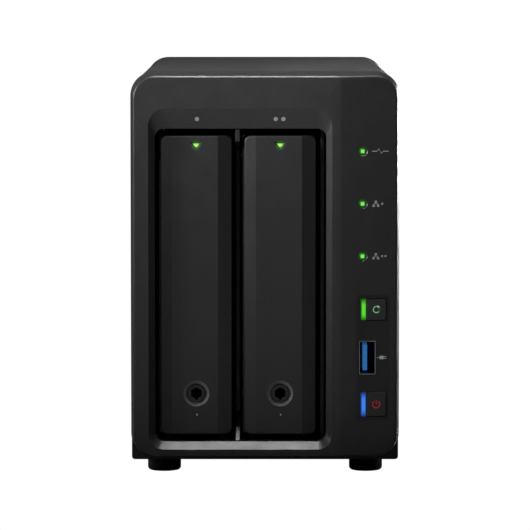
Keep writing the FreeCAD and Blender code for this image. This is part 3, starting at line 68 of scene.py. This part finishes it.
class Graph:
    """A material's node graph around one Principled shader, in the object's own coordinates."""

    def __init__(self, name, colour, roughness, metallic=0.0, specular=0.5):
        self.material = bpy.data.materials.new(name)
        self.material.use_nodes = True
        self.tree = self.material.node_tree
        self.shader = self.tree.nodes["Principled BSDF"]
        self.colour = colour
        self.roughness = roughness
        self.shader.inputs["Metallic"].default_value = metallic
        self.shader.inputs["Specular IOR Level"].default_value = specular
        self.place = self.node("ShaderNodeTexCoord").outputs["Object"]
        self.normal = None
        self.base = None

    def node(self, kind, **settings):
        item = self.tree.nodes.new(kind)
        for key, setting in settings.items():
            setattr(item, key, setting)
        return item

    def link(self, start, end):
        self.tree.links.new(start, end)

    def stretch(self, scale):
        """The coordinates, stretched by different amounts along X, Y and Z."""
        item = self.node("ShaderNodeMapping")
        item.inputs["Scale"].default_value = scale
        self.link(self.place, item.inputs["Vector"])
        return item.outputs["Vector"]

    def noise(self, scale, detail=3.0, roughness=0.55, stretch=None):
        item = self.node("ShaderNodeTexNoise")
        item.inputs["Scale"].default_value = scale
        item.inputs["Detail"].default_value = detail
        item.inputs["Roughness"].default_value = roughness
        self.link(self.stretch(stretch) if stretch else self.place, item.inputs["Vector"])
        return item.outputs["Fac"]

    def cells(self, scale, feature="F1"):
        item = self.node("ShaderNodeTexVoronoi", feature=feature)
        item.inputs["Scale"].default_value = scale
        self.link(self.place, item.inputs["Vector"])
        return item.outputs["Distance"]

    def ramp(self, value, stops):
        item = self.node("ShaderNodeValToRGB")
        ramp = item.color_ramp
        while len(ramp.elements) < len(stops):
            ramp.elements.new(0.5)
        for element, (position, colour) in zip(ramp.elements, stops):
            element.position = position
            element.color = (*colour, 1.0)
        self.link(value, item.inputs["Fac"])
        return item.outputs["Color"]

    def between(self, value, low, high, from_low=0.3, from_high=0.7):
        item = self.node("ShaderNodeMapRange")
        item.inputs["From Min"].default_value = from_low
        item.inputs["From Max"].default_value = from_high
        item.inputs["To Min"].default_value = low
        item.inputs["To Max"].default_value = high
        self.link(value, item.inputs["Value"])
        return item.outputs["Result"]

    def mottle(self, value, spread):
        """Base colour that wanders a little darker and lighter than the main one."""
        dark = [channel * (1 - spread) for channel in self.colour]
        light = [channel * (1 + spread) for channel in self.colour]
        self.base = self.ramp(value, [(0.3, dark), (0.7, light)])
        self.link(self.base, self.shader.inputs["Base Color"])

    def uneven_gloss(self, value, spread):
        low = max(self.roughness - spread, 0.02)
        self.link(self.between(value, low, self.roughness + spread), self.shader.inputs["Roughness"])

    def vector_math(self, operation, first, second=None):
        item = self.node("ShaderNodeVectorMath", operation=operation)
        self.link(first, item.inputs[0])
        if second is not None:
            item.inputs[1].default_value = second
        return item.outputs["Value" if operation in ("DISTANCE", "LENGTH") else "Vector"]

    def combine(self, operation, first, second):
        """One number made from two, such as their product or the larger one."""
        item = self.node("ShaderNodeMath", operation=operation)
        self.link(first, item.inputs[0])
        self.link(second, item.inputs[1])
        return item.outputs[0]

    def axes(self, vector):
        """A vector's X, Y and Z as three numbers."""
        item = self.node("ShaderNodeSeparateXYZ")
        self.link(vector, item.inputs[0])
        return item.outputs[0], item.outputs[1], item.outputs[2]

    def off_middle(self, low, high):
        """How far each point lies from a box's middle along X, Y and Z, and half the box's size."""
        middle = (Vector(low) + Vector(high)) / 2
        half = (Vector(high) - Vector(low)) / 2
        return self.vector_math("ABSOLUTE", self.vector_math("SUBTRACT", self.place, middle)), half

    def inside(self, low, high, soft):
        """1 inside a box of the object's coordinates, falling to 0 just outside it."""
        away, half = self.off_middle(low, high)
        across, along, up = self.axes(self.vector_math("SUBTRACT", away, half))
        furthest = self.combine("MAXIMUM", self.combine("MAXIMUM", across, along), up)
        return self.between(furthest, 1, 0, 0, soft)

    def ring(self, middle, inner, outer):
        """1 between two radii in X and Z around a place, on surfaces that lie just behind it."""
        soft = 0.1 * MM
        skin = 0.02 * MM
        depth = 1 * MM
        low = Vector(middle) + Vector((-outer, skin, -outer))
        high = Vector(middle) + Vector((outer, depth, outer))
        away = self.vector_math("SUBTRACT", self.place, middle)
        radius = self.vector_math("LENGTH", self.vector_math("MULTIPLY", away, (1, 0, 1)))
        past_inner = self.between(radius, 0, 1, inner - soft, inner)
        short_of_outer = self.between(radius, 1, 0, outer, outer + soft)
        behind = self.combine("MULTIPLY", self.inside(low, high, skin), past_inner)
        return self.combine("MULTIPLY", behind, short_of_outer)

    def tint(self, mask, colour):
        """Paint a colour over the base where a mask says."""
        item = self.node("ShaderNodeMix", data_type="RGBA")
        self.link(mask, item.inputs["Factor"])
        self.link(self.base, item.inputs[6])
        item.inputs[7].default_value = (*colour, 1.0)
        self.base = item.outputs[2]
        self.link(self.base, self.shader.inputs["Base Color"])

    def paint_recess_shade(self, mask, level):
        """Painted shade: almost black and fully rough where a mask says, standing in for the shade deep in
        recesses.
        """
        self.tint(mask, (level, level, level))
        gloss = self.shader.inputs["Roughness"]
        self.link(self.combine("MAXIMUM", mask, gloss.links[0].from_socket), gloss)

    def glow(self, places, near, far, colour):
        """Light that bleeds into the surface around lamps."""
        nearest = None
        for place in places:
            gap = self.vector_math("DISTANCE", self.place, place)
            nearest = self.combine("MINIMUM", nearest, gap) if nearest else gap
        dim = tuple(0.25 * channel for channel in colour)
        stops = [(0, (0, 0, 0)), (0.5, dim), (1, colour)]
        closeness = self.between(nearest, 1, 0, near, far)
        self.link(self.ramp(closeness, stops), self.shader.inputs["Emission Color"])
        self.shader.inputs["Emission Strength"].default_value = 1

    def lit(self, lamps, edge, core):
        """Light that shines out of box-shaped lamps, falling off from their middles to their edges."""
        full, faint = 0.45, 0.95
        brightest = None
        for low, high in lamps:
            away, half = self.off_middle(low, high)
            across, _, up = self.axes(self.vector_math("DIVIDE", away, half))
            level = self.combine("MULTIPLY", self.between(across, 1, 0, full, faint),
                                 self.between(up, 1, 0, full, faint))
            brightest = self.combine("MAXIMUM", brightest, level) if brightest else level
        self.link(self.ramp(brightest, [(0, edge), (1, core)]), self.shader.inputs["Emission Color"])
        self.shader.inputs["Emission Strength"].default_value = 1

    def bump(self, value, depth):
        """Relief of a depth in metres, on top of any relief already there."""
        item = self.node("ShaderNodeBump")
        item.inputs["Strength"].default_value = 1
        item.inputs["Distance"].default_value = depth
        self.link(value, item.inputs["Height"])
        if self.normal:
            self.link(self.normal, item.inputs["Normal"])
        self.normal = item.outputs["Normal"]
        self.link(self.normal, self.shader.inputs["Normal"])


def moulded_graph(name, colour, roughness=0.42, grain=0.35, depth=0.02, specular=0.5):
    """Fine spark-eroded texture with faint clouding, as on a moulded housing."""
    graph = Graph(name, colour, roughness, specular=specular)
    graph.mottle(graph.noise(900, 5, 0.75), 0.16)
    graph.uneven_gloss(graph.noise(140, 3), 0.04)
    graph.bump(graph.noise(1 / (grain * MM), 2, 0.6), depth * MM)
    return graph


def moulded_plastic(name, colour, *settings):
    return moulded_graph(name, colour, *settings).material


def centre_of(name):
    low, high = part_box(name)
    return (low + high) / 2


def status_boxes():
    """The box of each of the three status lamps on the strip, from the lowest up."""
    low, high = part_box("status_light_pipes")
    size = high.x - low.x
    starts = (low.z, (low.z + high.z - size) / 2, high.z - size)
    return [(Vector((low.x, low.y, start)), Vector((high.x, high.y, start + size))) for start in starts]


LAMP_GLOW = (0.02, 0.16, 0.01)
LOCK_AXIS_Z = 34 * MM
FAR = 0.2


def panel_plastic():
    """The front moulding: its control inset is darker, painted shade makes its bay black, and its lamps light
    their rims.
    """
    graph = moulded_graph("charcoal_panel", (0.026, 0.026, 0.0262), 0.4)
    inset_margin = 1.2 * MM
    button_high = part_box("copy_button")[1]
    bar_low, power_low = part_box("power_light_bar")[0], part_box("power_button")[0]
    inset_low = (bar_low.x - inset_margin, FRONT_Y, power_low.z - inset_margin)
    inset_high = (button_high.x + inset_margin, button_high.y, button_high.z + inset_margin)
    graph.tint(graph.inside(inset_low, inset_high, 0.1 * MM), (0.017, 0.017, 0.0172))
    bay_depth = 3.2 * MM
    bay_margin = Vector((3, 0, 3)) * MM
    bay_low, bay_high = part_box("tray_handle_1")[0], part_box("tray_handle_2")[1]
    bay_low = Vector((bay_low.x, FRONT_Y + bay_depth, bay_low.z)) - bay_margin
    # Painted shade: the panel's surfaces deep inside the bay are painted almost black.
    graph.paint_recess_shade(graph.inside(bay_low, bay_high + bay_margin, 0.3 * MM), 0.002)
    lamps = [((low.x + high.x) / 2, low.y, (low.z + high.z) / 2) for low, high in status_boxes()]
    graph.glow(lamps, 0.9 * MM, 2 * MM, LAMP_GLOW)
    return graph.material


def tray_plastic():
    """The tray front: painted shade makes it black behind its face, a painted highlight lightens the slope
    round its lock, and it is lit beside its lamp.
    """
    graph = moulded_graph("charcoal_tray", (0.024, 0.024, 0.0242), 0.4)
    face_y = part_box("tray_handle_1")[0].y
    face_depth = 2.6 * MM
    slope_inner, slope_outer = 3.75 * MM, 5 * MM
    # Painted shade: every surface more than a little behind the tray's face is painted almost black.
    graph.paint_recess_shade(graph.inside((-FAR, face_y + face_depth, 0), (FAR, FAR, FAR), 0.4 * MM), 0.003)
    lamps = []
    for number in (1, 2):
        lock = centre_of(f"tray_lock_{number}")
        slope_highlight = graph.ring((lock.x, face_y, LOCK_AXIS_Z), slope_inner, slope_outer)
        # Painted highlight: the slope round each lock is painted light grey, standing in for the light that
        # it catches.
        graph.tint(slope_highlight, (0.16, 0.16, 0.16))
        lamp = centre_of(f"tray_lamp_{number}")
        lamps.append((lamp.x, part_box(f"tray_lamp_{number}")[0].y, lamp.z))
    graph.glow(lamps, 0.8 * MM, 2.2 * MM, LAMP_GLOW)
    return graph.material


def lock_plastic():
    """The key barrel: a satin face, and painted shade that makes it black inside its socket."""
    graph = moulded_graph("black_lock", (0.014, 0.014, 0.015), 0.36, 0.5)
    socket_half = 2.25 * MM
    lip = 0.3 * MM
    for number in (1, 2):
        low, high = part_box(f"tray_lock_{number}")
        across = centre_of(f"tray_lock_{number}").x
        socket_low = (across - socket_half, low.y + lip, low.z)
        # Painted shade: the inside of the hex socket is painted almost black.
        socket_shade = graph.inside(socket_low, (across + socket_half, high.y, high.z), 0.2 * MM)
        graph.paint_recess_shade(socket_shade, 0.001)
    return graph.material


def powder_coat(name, colour, roughness=0.5):
    """Baked paint on sheet steel: small pebbles over a slight waviness."""
    graph = Graph(name, colour, roughness)
    graph.mottle(graph.noise(800, 2), 0.12)
    graph.uneven_gloss(graph.noise(90, 3), 0.05)
    graph.bump(graph.noise(45, 2), 0.02 * MM)
    graph.bump(graph.cells(1800), 0.03 * MM)
    return graph.material


def sheet_steel(name, colour, roughness, grain=(1, 1, 30)):
    """Rolled or plated metal with drawn lines and cloudy gloss."""
    graph = Graph(name, colour, roughness, metallic=1.0)
    lines = graph.noise(600, 4, 0.7, stretch=grain)
    graph.mottle(graph.noise(70, 4), 0.1)
    graph.uneven_gloss(lines, 0.09)
    graph.bump(lines, 0.004 * MM)
    return graph.material


def socket_steel():
    """A bright rim on a socket, with painted shade that makes it dull and dark inside."""
    graph = Graph("socket_steel", (0.5, 0.5, 0.5), 0.35, metallic=1.0)
    graph.mottle(graph.noise(600, 3), 0.1)
    low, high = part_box("usb_port_front")
    rim = Vector((0.22, -1, 0.22)) * MM
    # Painted shade: dark navy inside the socket, behind a bright rim.
    graph.tint(graph.inside(low + rim, high - rim, 0.1 * MM), (0.002, 0.003, 0.014))
    graph.uneven_gloss(graph.noise(500, 2), 0.08)
    graph.bump(graph.noise(900, 2), 0.005 * MM)
    return graph.material


def lit_tongue():
    """Blue plastic with painted light: it glows a little of its own, standing in for light caught deep in its
    socket.
    """
    graph = moulded_graph("blue_tongue_lit", (0.04, 0.3, 0.75), 0.35)
    graph.shader.inputs["Emission Color"].default_value = (0.012, 0.08, 0.26, 1.0)
    graph.shader.inputs["Emission Strength"].default_value = 0.8
    return graph.material


def cast_metal(name, colour, roughness):
    graph = Graph(name, colour, roughness, metallic=1.0)
    graph.mottle(graph.noise(160, 5), 0.14)
    graph.uneven_gloss(graph.noise(500, 3), 0.08)
    graph.bump(graph.noise(1400, 3, 0.7), 0.03 * MM)
    return graph.material


def soft_rubber(name, colour):
    graph = Graph(name, colour, 0.8, specular=0.3)
    graph.mottle(graph.noise(300, 4), 0.2)
    graph.uneven_gloss(graph.noise(200, 3), 0.08)
    graph.bump(graph.noise(1500, 2), 0.03 * MM)
    return graph.material


def circuit_board(name, colour):
    """Solder mask over copper tracks."""
    graph = Graph(name, colour, 0.35)
    tracks = graph.cells(420, "DISTANCE_TO_EDGE")
    light = [channel * 1.7 for channel in colour]
    graph.link(graph.ramp(tracks, [(0.04, light), (0.07, colour)]), graph.shader.inputs["Base Color"])
    graph.uneven_gloss(graph.noise(200, 2), 0.06)
    graph.bump(graph.between(tracks, 1, 0, 0.03, 0.08), 0.02 * MM)
    return graph.material


def light_guide(name, colour, lamps, edge, core):
    """Tinted acrylic that is lit from behind: bright over the lamps' middles and dim at the edges."""
    graph = Graph(name, colour, 0.22)
    graph.mottle(graph.noise(500, 2), 0.15)
    graph.uneven_gloss(graph.noise(900, 2), 0.05)
    graph.lit(lamps, edge, core)
    return graph.material


def printed_ink(name, colour, glow=0.0):
    graph = Graph(name, colour, 0.55)
    graph.mottle(graph.noise(1500, 3), 0.12)
    graph.uneven_gloss(graph.noise(700, 2), 0.06)
    graph.bump(graph.noise(5000, 2), 0.01 * MM)
    if glow:
        graph.shader.inputs["Emission Color"].default_value = (*colour, 1.0)
        graph.shader.inputs["Emission Strength"].default_value = glow
    return graph.material


MATERIALS = {
    "panel_plastic": panel_plastic(),
    "tray_plastic": tray_plastic(),
    "button_plastic": moulded_plastic("charcoal_button", (0.034, 0.035, 0.0365), 0.4, 0.25),
    "case_paint": powder_coat("charcoal_paint", (0.024, 0.024, 0.0245)),
    "green_light": light_guide("green_light", (0.03, 0.2, 0.015), [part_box("copy_light_bar")],
                               (0.002, 0.06, 0.002), (0.1, 0.66, 0.03)),
    "blue_light": light_guide("blue_light", (0.01, 0.06, 0.25), [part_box("power_light_bar")],
                              (0.002, 0.02, 0.11), (0.035, 0.2, 0.78)),
    "bright_metal": sheet_steel("nickel_plate", (0.62, 0.61, 0.59), 0.3),
    "dark_metal": powder_coat("black_screw", (0.02, 0.02, 0.021), 0.4),
    "usb_blue": moulded_plastic("blue_tongue", (0.03, 0.2, 0.6), 0.35, 0.4),
    "circuit_board": circuit_board("solder_mask", (0.01, 0.09, 0.035)),
    "black_plastic": moulded_plastic("black_moulding", (0.012, 0.012, 0.013), 0.45, 0.4),
    "platter_metal": sheet_steel("platter", (0.72, 0.72, 0.74), 0.12, (1, 1, 1)),
    "cage_black": moulded_plastic("black_frame", (0.024, 0.024, 0.0242), 0.4, 0.4),
    "heat_sink_metal": cast_metal("fin_aluminium", (0.55, 0.55, 0.57), 0.35),
    "foot_rubber": soft_rubber("foot_rubber", (0.009, 0.009, 0.0095)),
    "tray_black": moulded_plastic("black_tray", (0.01, 0.01, 0.0105), 0.5, 0.5),
    "lock_plastic": lock_plastic(),
    "drive_casting": cast_metal("drive_casting", (0.36, 0.36, 0.37), 0.42),
    "drive_cover": sheet_steel("drive_lid", (0.6, 0.6, 0.61), 0.28, (1, 30, 1)),
}
STATUS_LIGHT = light_guide("status_light", (0.03, 0.2, 0.015), status_boxes(),
                           (0.01, 0.15, 0.006), (0.28, 0.8, 0.15))
TRAY_LIGHT = light_guide("tray_light", (0.03, 0.2, 0.015), [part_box("tray_lamp_1"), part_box("tray_lamp_2")],
                         (0.02, 0.19, 0.008), (0.5, 0.86, 0.18))
NODE_MATERIALS = {
    "usb_port_front": socket_steel(),
    "usb_tongue_front": lit_tongue(),
    "status_light_pipes": STATUS_LIGHT,
    "tray_lamp_1": TRAY_LIGHT,
    "tray_lamp_2": TRAY_LIGHT,
}
WHITE_INK = printed_ink("white_ink", (0.75, 0.76, 0.77))
GREY_INK = printed_ink("grey_ink", (0.4, 0.41, 0.42))
# Green ink that glows: painted light for the halo round the copy mark.
GREEN_HALO_GLOW = printed_ink("green_halo_glow", (0.01, 0.1, 0.02), 0.3)
PALE_INK = printed_ink("pale_ink", (0.45, 0.62, 0.48), 0.25)
RED_INK = printed_ink("red_ink", (0.3, 0.012, 0.015), 0.6)


# ---------------------------------------------------------------- soft edges on the CAD parts

EDGE_WIDTH = {
    "case_cover": 0.25,
    "rear_panel": 0.3,
    "base_pan": 0.2,
    "cage_divider": 0.3,
    "tray_lamp_1": 0.25,
    "tray_lamp_2": 0.25,
    "status_light_pipes": 0.2,
    "fan_frame": 0.3,
    "drive_body_1": 0.4,
    "drive_body_2": 0.4,
}
OTHER_EDGE_WIDTH = 0.12
SHARP_FROM = {
    "front_panel": 17,
    "tray_handle_1": 13,
    "tray_handle_2": 13,
}
OTHER_SHARP_FROM = 30
# Parts with openings or fine steps in flat faces, which merging would fill in wrongly: they keep every edge.
OWN_EDGES = ("front_panel", "tray_frame_1", "tray_frame_2", "tray_handle_1", "tray_handle_2", "tray_lock_1",
             "tray_lock_2", "usb_ports_rear", "usb_port_front", "lan_port_1", "lan_port_2", "cage_top_plate",
             "drive_sockets", "power_button")


def soften(item, width, sharp_from):
    """Join the facets, then merge flat areas and round the edges, or else only keep the edges crisp."""
    weld = item.modifiers.new("weld", "WELD")
    weld.merge_threshold = 0.002 * MM
    if item.name in OWN_EDGES:
        split = item.modifiers.new("split", "EDGE_SPLIT")
        split.split_angle = math.radians(sharp_from)
        split.use_edge_sharp = False
    else:
        flat = item.modifiers.new("flat", "DECIMATE")
        flat.decimate_type = "DISSOLVE"
        flat.angle_limit = math.radians(0.4)
        bevel = item.modifiers.new("bevel", "BEVEL")
        bevel.width = width * MM
        bevel.segments = 2
        bevel.limit_method = "ANGLE"
        bevel.angle_limit = math.radians(sharp_from)
        bevel.use_clamp_overlap = True
        bevel.miter_outer = "MITER_ARC"
    weigh = item.modifiers.new("weigh", "WEIGHTED_NORMAL")
    weigh.mode = "FACE_AREA_WITH_ANGLE"
    weigh.weight = 50


for name, item in frame["nodes"].items():
    item.data.materials.clear()
    item.data.materials.append(NODE_MATERIALS.get(name) or MATERIALS[SLOT_OF[name]])
    soften(item, EDGE_WIDTH.get(name, OTHER_EDGE_WIDTH), SHARP_FROM.get(name, OTHER_SHARP_FROM))


# ---------------------------------------------------------------- printed marks

class Skin:
    """The front surface of a CAD part, seen along +Y."""

    def __init__(self, name):
        self.node = name
        self.tree = BVHTree.FromObject(frame["nodes"][name], bpy.context.evaluated_depsgraph_get())

    def at(self, across, up, proud):
        """The surface point at (x, z), moved out towards the viewer."""
        start = Vector((across, FRONT_Y - 0.01, up))
        hit = self.tree.ray_cast(start, Vector((0, 1, 0)))[0]
        return Vector((across, hit.y - proud, up))


INK_PROUD = 0.03 * MM
INK_SUNK = 0.15 * MM


def printed(name, skin, strips, material, coats=1):
    """Thin raised ink: each strip is a list of (inner, outer) point pairs in x and z, closed at its ends."""
    mesh = bmesh.new()
    for strip in strips:
        rows = []
        for pair in strip:
            points = [skin.at(across, up, coats * INK_PROUD) for across, up in pair]
            backs = [point + Vector((0, coats * INK_PROUD + INK_SUNK, 0)) for point in points]
            rows.append([mesh.verts.new(point) for point in points + backs[::-1]])
        for first, second in zip(rows, rows[1:]):
            for side in range(4):
                after = (side + 1) % 4
                mesh.faces.new([first[side], first[after], second[after], second[side]])
        if strip[0] != strip[-1]:
            mesh.faces.new(rows[0])
            mesh.faces.new(rows[-1])
        else:
            bmesh.ops.remove_doubles(mesh, verts=rows[0] + rows[-1], dist=1e-9)
    bmesh.ops.recalc_face_normals(mesh, faces=mesh.faces)
    data = bpy.data.meshes.new(name)
    mesh.to_mesh(data)
    mesh.free()
    item = bpy.data.objects.new(name, data)
    bpy.context.scene.collection.objects.link(item)
    data.materials.append(material)
    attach(item, BODY_OF[skin.node])


def arc(centre, inner, outer, start=0.0, end=360.0, steps=28):
    """A ring or part of one, as point pairs; angles in degrees from +X."""
    pairs = []
    for step in range(steps + 1):
        turn = math.radians(start + (end - start) * step / steps)
        ray = Vector((math.cos(turn), math.sin(turn)))
        pairs.append(tuple(tuple(Vector(centre) + ray * size) for size in (inner, outer)))
    return pairs


def dot(centre, radius, steps=28):
    """A filled round: a ring with almost no hole."""
    return arc(centre, 0.02 * MM, radius, steps=steps)


def bar(left, low, right, high):
    """An upright-sided block of ink."""
    steps = 3
    places = [left + (right - left) * step / steps for step in range(steps + 1)]
    return [((place, low), (place, high)) for place in places]


def print_bay_dots(skin):
    """One dot over the first bay and two over the second."""
    up = 139.3 * MM
    first = centre_of("tray_handle_1").x + 0.4 * MM
    second = centre_of("tray_handle_2").x - 0.25 * MM
    half_gap = 1.45 * MM
    size = 0.8 * MM
    for name, places in (("bay_mark_1", [first]), ("bay_mark_2", [second - half_gap, second + half_gap])):
        printed(name, skin, [dot((place, up), size) for place in places], GREY_INK)


def network_glyph(centre, dots):
    """Three linked boxes, followed by one or two dots."""
    across, up = centre
    box_half = 0.45 * MM
    side, rise = 0.85 * MM, 0.75 * MM
    line = 0.12 * MM
    stem = 0.5 * MM
    first_dot, dot_pitch, dot_radius = 2.4 * MM, 1.3 * MM, 0.42 * MM
    strips = []
    for x, z in ((across, up + rise), (across - side, up - rise), (across + side, up - rise)):
        strips.append(bar(x - box_half, z - box_half, x + box_half, z + box_half))
    strips.append(bar(across - side, up - line, across + side, up + line))
    strips.append(bar(across - line, up, across + line, up + stem))
    for step in range(dots):
        strips.append(dot((across + first_dot + dot_pitch * step, up), dot_radius, 16))
    return strips


def status_glyph(centre):
    """A level line with a pulse in its middle."""
    across, up = centre
    line = 0.14 * MM
    pulse = [(-3.2, 0), (-1.2, 0), (-0.5, 0.85), (0.5, -0.85), (1.2, 0), (3.2, 0)]
    return [[((across + right * MM, up + rise * MM - line), (across + right * MM, up + rise * MM + line))
             for right, rise in pulse]]


def plug_glyph(centre):
    """A short cable with a two-pronged plug."""
    across, up = centre
    cable_start, body_start, body_end, prong_end = [across + x * MM for x in (-1.9, -0.8, 0.7, 1.8)]
    cable, body, prong_inner, prong_outer = 0.12 * MM, 0.65 * MM, 0.2 * MM, 0.45 * MM
    return [bar(cable_start, up - cable, body_start, up + cable),
            bar(body_start, up - body, body_end, up + body),
            bar(body_end, up + prong_inner, prong_end, up + prong_outer),
            bar(body_end, up - prong_outer, prong_end, up - prong_inner)]


def print_strip_marks(skin):
    """Marks to the right of the status lamps and of the front socket."""
    lowest, middle, highest = [(low.z + high.z) / 2 for low, high in status_boxes()]
    across = 43.9 * MM
    network = across - 1.6 * MM
    beside_usb = 5.5 * MM
    printed("status_mark", skin, status_glyph((across, highest)), GREY_INK)
    printed("network_mark_1", skin, network_glyph((network, middle), 1), GREY_INK)
    printed("network_mark_2", skin, network_glyph((network, lowest), 2), GREY_INK)
    usb = centre_of("usb_port_front")
    printed("usb_mark", skin, plug_glyph((usb.x + beside_usb, usb.z)), WHITE_INK)


def print_button_marks():
    """A circling arrow on the copy button inside a green halo of painted light, and a standby symbol on the
    power button.
    """
    copy = centre_of("copy_button")
    centre = (copy.x, copy.z)
    skin = Skin("copy_button")
    # Painted light: green ink that glows faintly in a ring round the arrow.
    printed("copy_halo", skin, [arc(centre, 0.8 * MM, 1.6 * MM)], GREEN_HALO_GLOW)
    ring = arc(centre, 1.05 * MM, 1.35 * MM, 60, 320)
    back, tip = copy.x + 0.5 * MM, copy.x + 1.35 * MM
    head = [((back, copy.z + 0.45 * MM), (back, copy.z + 1.6 * MM)),
            ((tip, copy.z + 0.95 * MM), (tip, copy.z + 1.05 * MM))]
    printed("copy_mark", skin, [ring, head], PALE_INK, 2)
    power = centre_of("power_button")
    stroke_half, stroke_length = 0.17 * MM, 1.5 * MM
    ring = arc((power.x, power.z), 1.2 * MM, 1.55 * MM, 125, 415)
    stroke = bar(power.x - stroke_half, power.z, power.x + stroke_half, power.z + stroke_length)
    printed("power_mark", Skin("power_button"), [ring, stroke], RED_INK)


def print_lock_marks():
    """A white dot below each lock."""
    below, beside, radius = 8.2 * MM, 0.2 * MM, 0.3 * MM
    for number in (1, 2):
        lock = centre_of(f"tray_lock_{number}")
        mark = dot((lock.x + beside, lock.z - below), radius, 14)
        printed(f"lock_dot_{number}", Skin(f"tray_handle_{number}"), [mark], WHITE_INK)


panel_skin = Skin("front_panel")
print_bay_dots(panel_skin)
print_strip_marks(panel_skin)
print_button_marks()
print_lock_marks()


# ---------------------------------------------------------------- floor, light and camera

WHITE_LEVEL = 1.02
ROOM_LEVEL = 0.03
FLOOR_COLOUR = (0.1, 0.1, 0.1)


def white_to_camera(tree, output, lighting):
    """Pure white where the camera sees it directly, and a dimmer shader for the light that it sends back."""
    path = tree.nodes.new("ShaderNodeLightPath")
    on_surface = output.type == "OUTPUT_MATERIAL"
    white = tree.nodes.new("ShaderNodeEmission" if on_surface else "ShaderNodeBackground")
    white.inputs["Color"].default_value = (1, 1, 1, 1)
    white.inputs["Strength"].default_value = WHITE_LEVEL
    mix = tree.nodes.new("ShaderNodeMixShader")
    tree.links.new(path.outputs["Is Camera Ray"], mix.inputs[0])
    tree.links.new(lighting, mix.inputs[1])
    tree.links.new(white.outputs[0], mix.inputs[2])
    tree.links.new(mix.outputs[0], output.inputs["Surface"])


def stage_floor():
    """A wide floor, white to the camera and dim to the unit above it."""
    reach = 40
    corners = [(-reach, -reach, 0), (reach, -reach, 0), (reach, reach, 0), (-reach, reach, 0)]
    data = bpy.data.meshes.new("floor")
    data.from_pydata(corners, [], [(0, 1, 2, 3)])
    floor = bpy.data.objects.new("floor", data)
    bpy.context.scene.collection.objects.link(floor)
    graph = Graph("pale_floor", FLOOR_COLOUR, 0.7, specular=0.1)
    graph.mottle(graph.noise(3, 2), 0.01)
    white_to_camera(graph.tree, graph.tree.nodes["Material Output"], graph.shader.outputs[0])
    data.materials.append(graph.material)


def hang(name, data, place, target):
    """Put a light at a place, turned towards a target."""
    lamp = bpy.data.objects.new(name, data)
    lamp.location = place
    lamp.rotation_euler = (Vector(target) - Vector(place)).to_track_quat("-Z", "Y").to_euler()
    bpy.context.scene.collection.objects.link(lamp)
    return lamp


def area_light(name, place, target, size, power):
    data = bpy.data.lights.new(name, "AREA")
    data.shape = "RECTANGLE"
    data.size = size[0]
    data.size_y = size[1]
    data.energy = power
    hang(name, data, place, target).visible_camera = False


def spot_light(name, place, target, power, cone, radius):
    data = bpy.data.lights.new(name, "SPOT")
    data.energy = power
    data.spot_size = math.radians(cone)
    data.spot_blend = 1.0
    data.shadow_soft_size = radius
    hang(name, data, place, target)


def dim_world():
    world = bpy.data.worlds.new("studio")
    world.use_nodes = True
    background = world.node_tree.nodes["Background"]
    background.inputs["Color"].default_value = (1, 1, 1, 1)
    background.inputs["Strength"].default_value = ROOM_LEVEL
    white_to_camera(world.node_tree, world.node_tree.nodes["World Output"], background.outputs[0])
    bpy.context.scene.world = world


def light_room():
    """Each light with its place, its target, then its size and power, or its power, cone and radius."""
    # From above: the first is mirrored in the bay's sill and in the rim over the front.
    area_light("overhead_strip", (0, -0.145, 0.75), (0, -0.145, 0), (0.2, 0.04), 2.9)
    area_light("overhead_back", (0, 0.1, 0.75), (0, 0.1, 0), (0.7, 0.2), 1.5)
    # On the front: the narrow cones let it darken towards its foot.
    spot_light("front_high", (-0.12, -0.6, 0.67), (-0.02, -0.116, 0.235), 7, 20, 0.06)
    spot_light("left_key", (-1.3, -0.49, 0.5), (-0.01, -0.116, 0.205), 125, 14, 0.1)
    spot_light("front_fill", (-0.45, -1.4, 0.6), (-0.02, -0.116, 0.206), 28, 13, 0.1)
    # Up from the table, under the slope over the bay.
    area_light("table_glow", (0, -0.27, 0.002), (0, -0.27, 1), (0.3, 0.12), 0.062)
    area_light("far_glow", (0, -0.42, 0.002), (0, -0.42, 1), (0.3, 0.12), 0.09)
    # On the sides and the rear, for views from there.
    spot_light("right_side", (1.1, 0.6, 0.3), (0.052, 0.07, 0.07), 45, 12, 0.15)
    spot_light("left_side", (-1.1, 0.6, 0.3), (-0.052, 0.07, 0.07), 45, 12, 0.15)
    area_light("behind", (0.25, 1.5, 0.1), (0, 0.116, 0.08), (0.5, 0.15), 10)


def place_camera():
    """A long lens straight in front, a little above the unit and looking slightly down."""
    distance = 1.446
    height = 0.2003
    look_down = 4.61
    data = bpy.data.cameras.new("camera")
    data.sensor_width = 36
    data.lens = 258.453
    camera = bpy.data.objects.new("camera", data)
    camera.location = (0, FRONT_Y - distance, height)
    camera.rotation_euler = (math.radians(90 - look_down), 0, 0)
    bpy.context.scene.collection.objects.link(camera)
    bpy.context.scene.camera = camera


stage_floor()
dim_world()
light_room()
place_camera()
bpy.context.scene.view_settings.view_transform = "Standard"
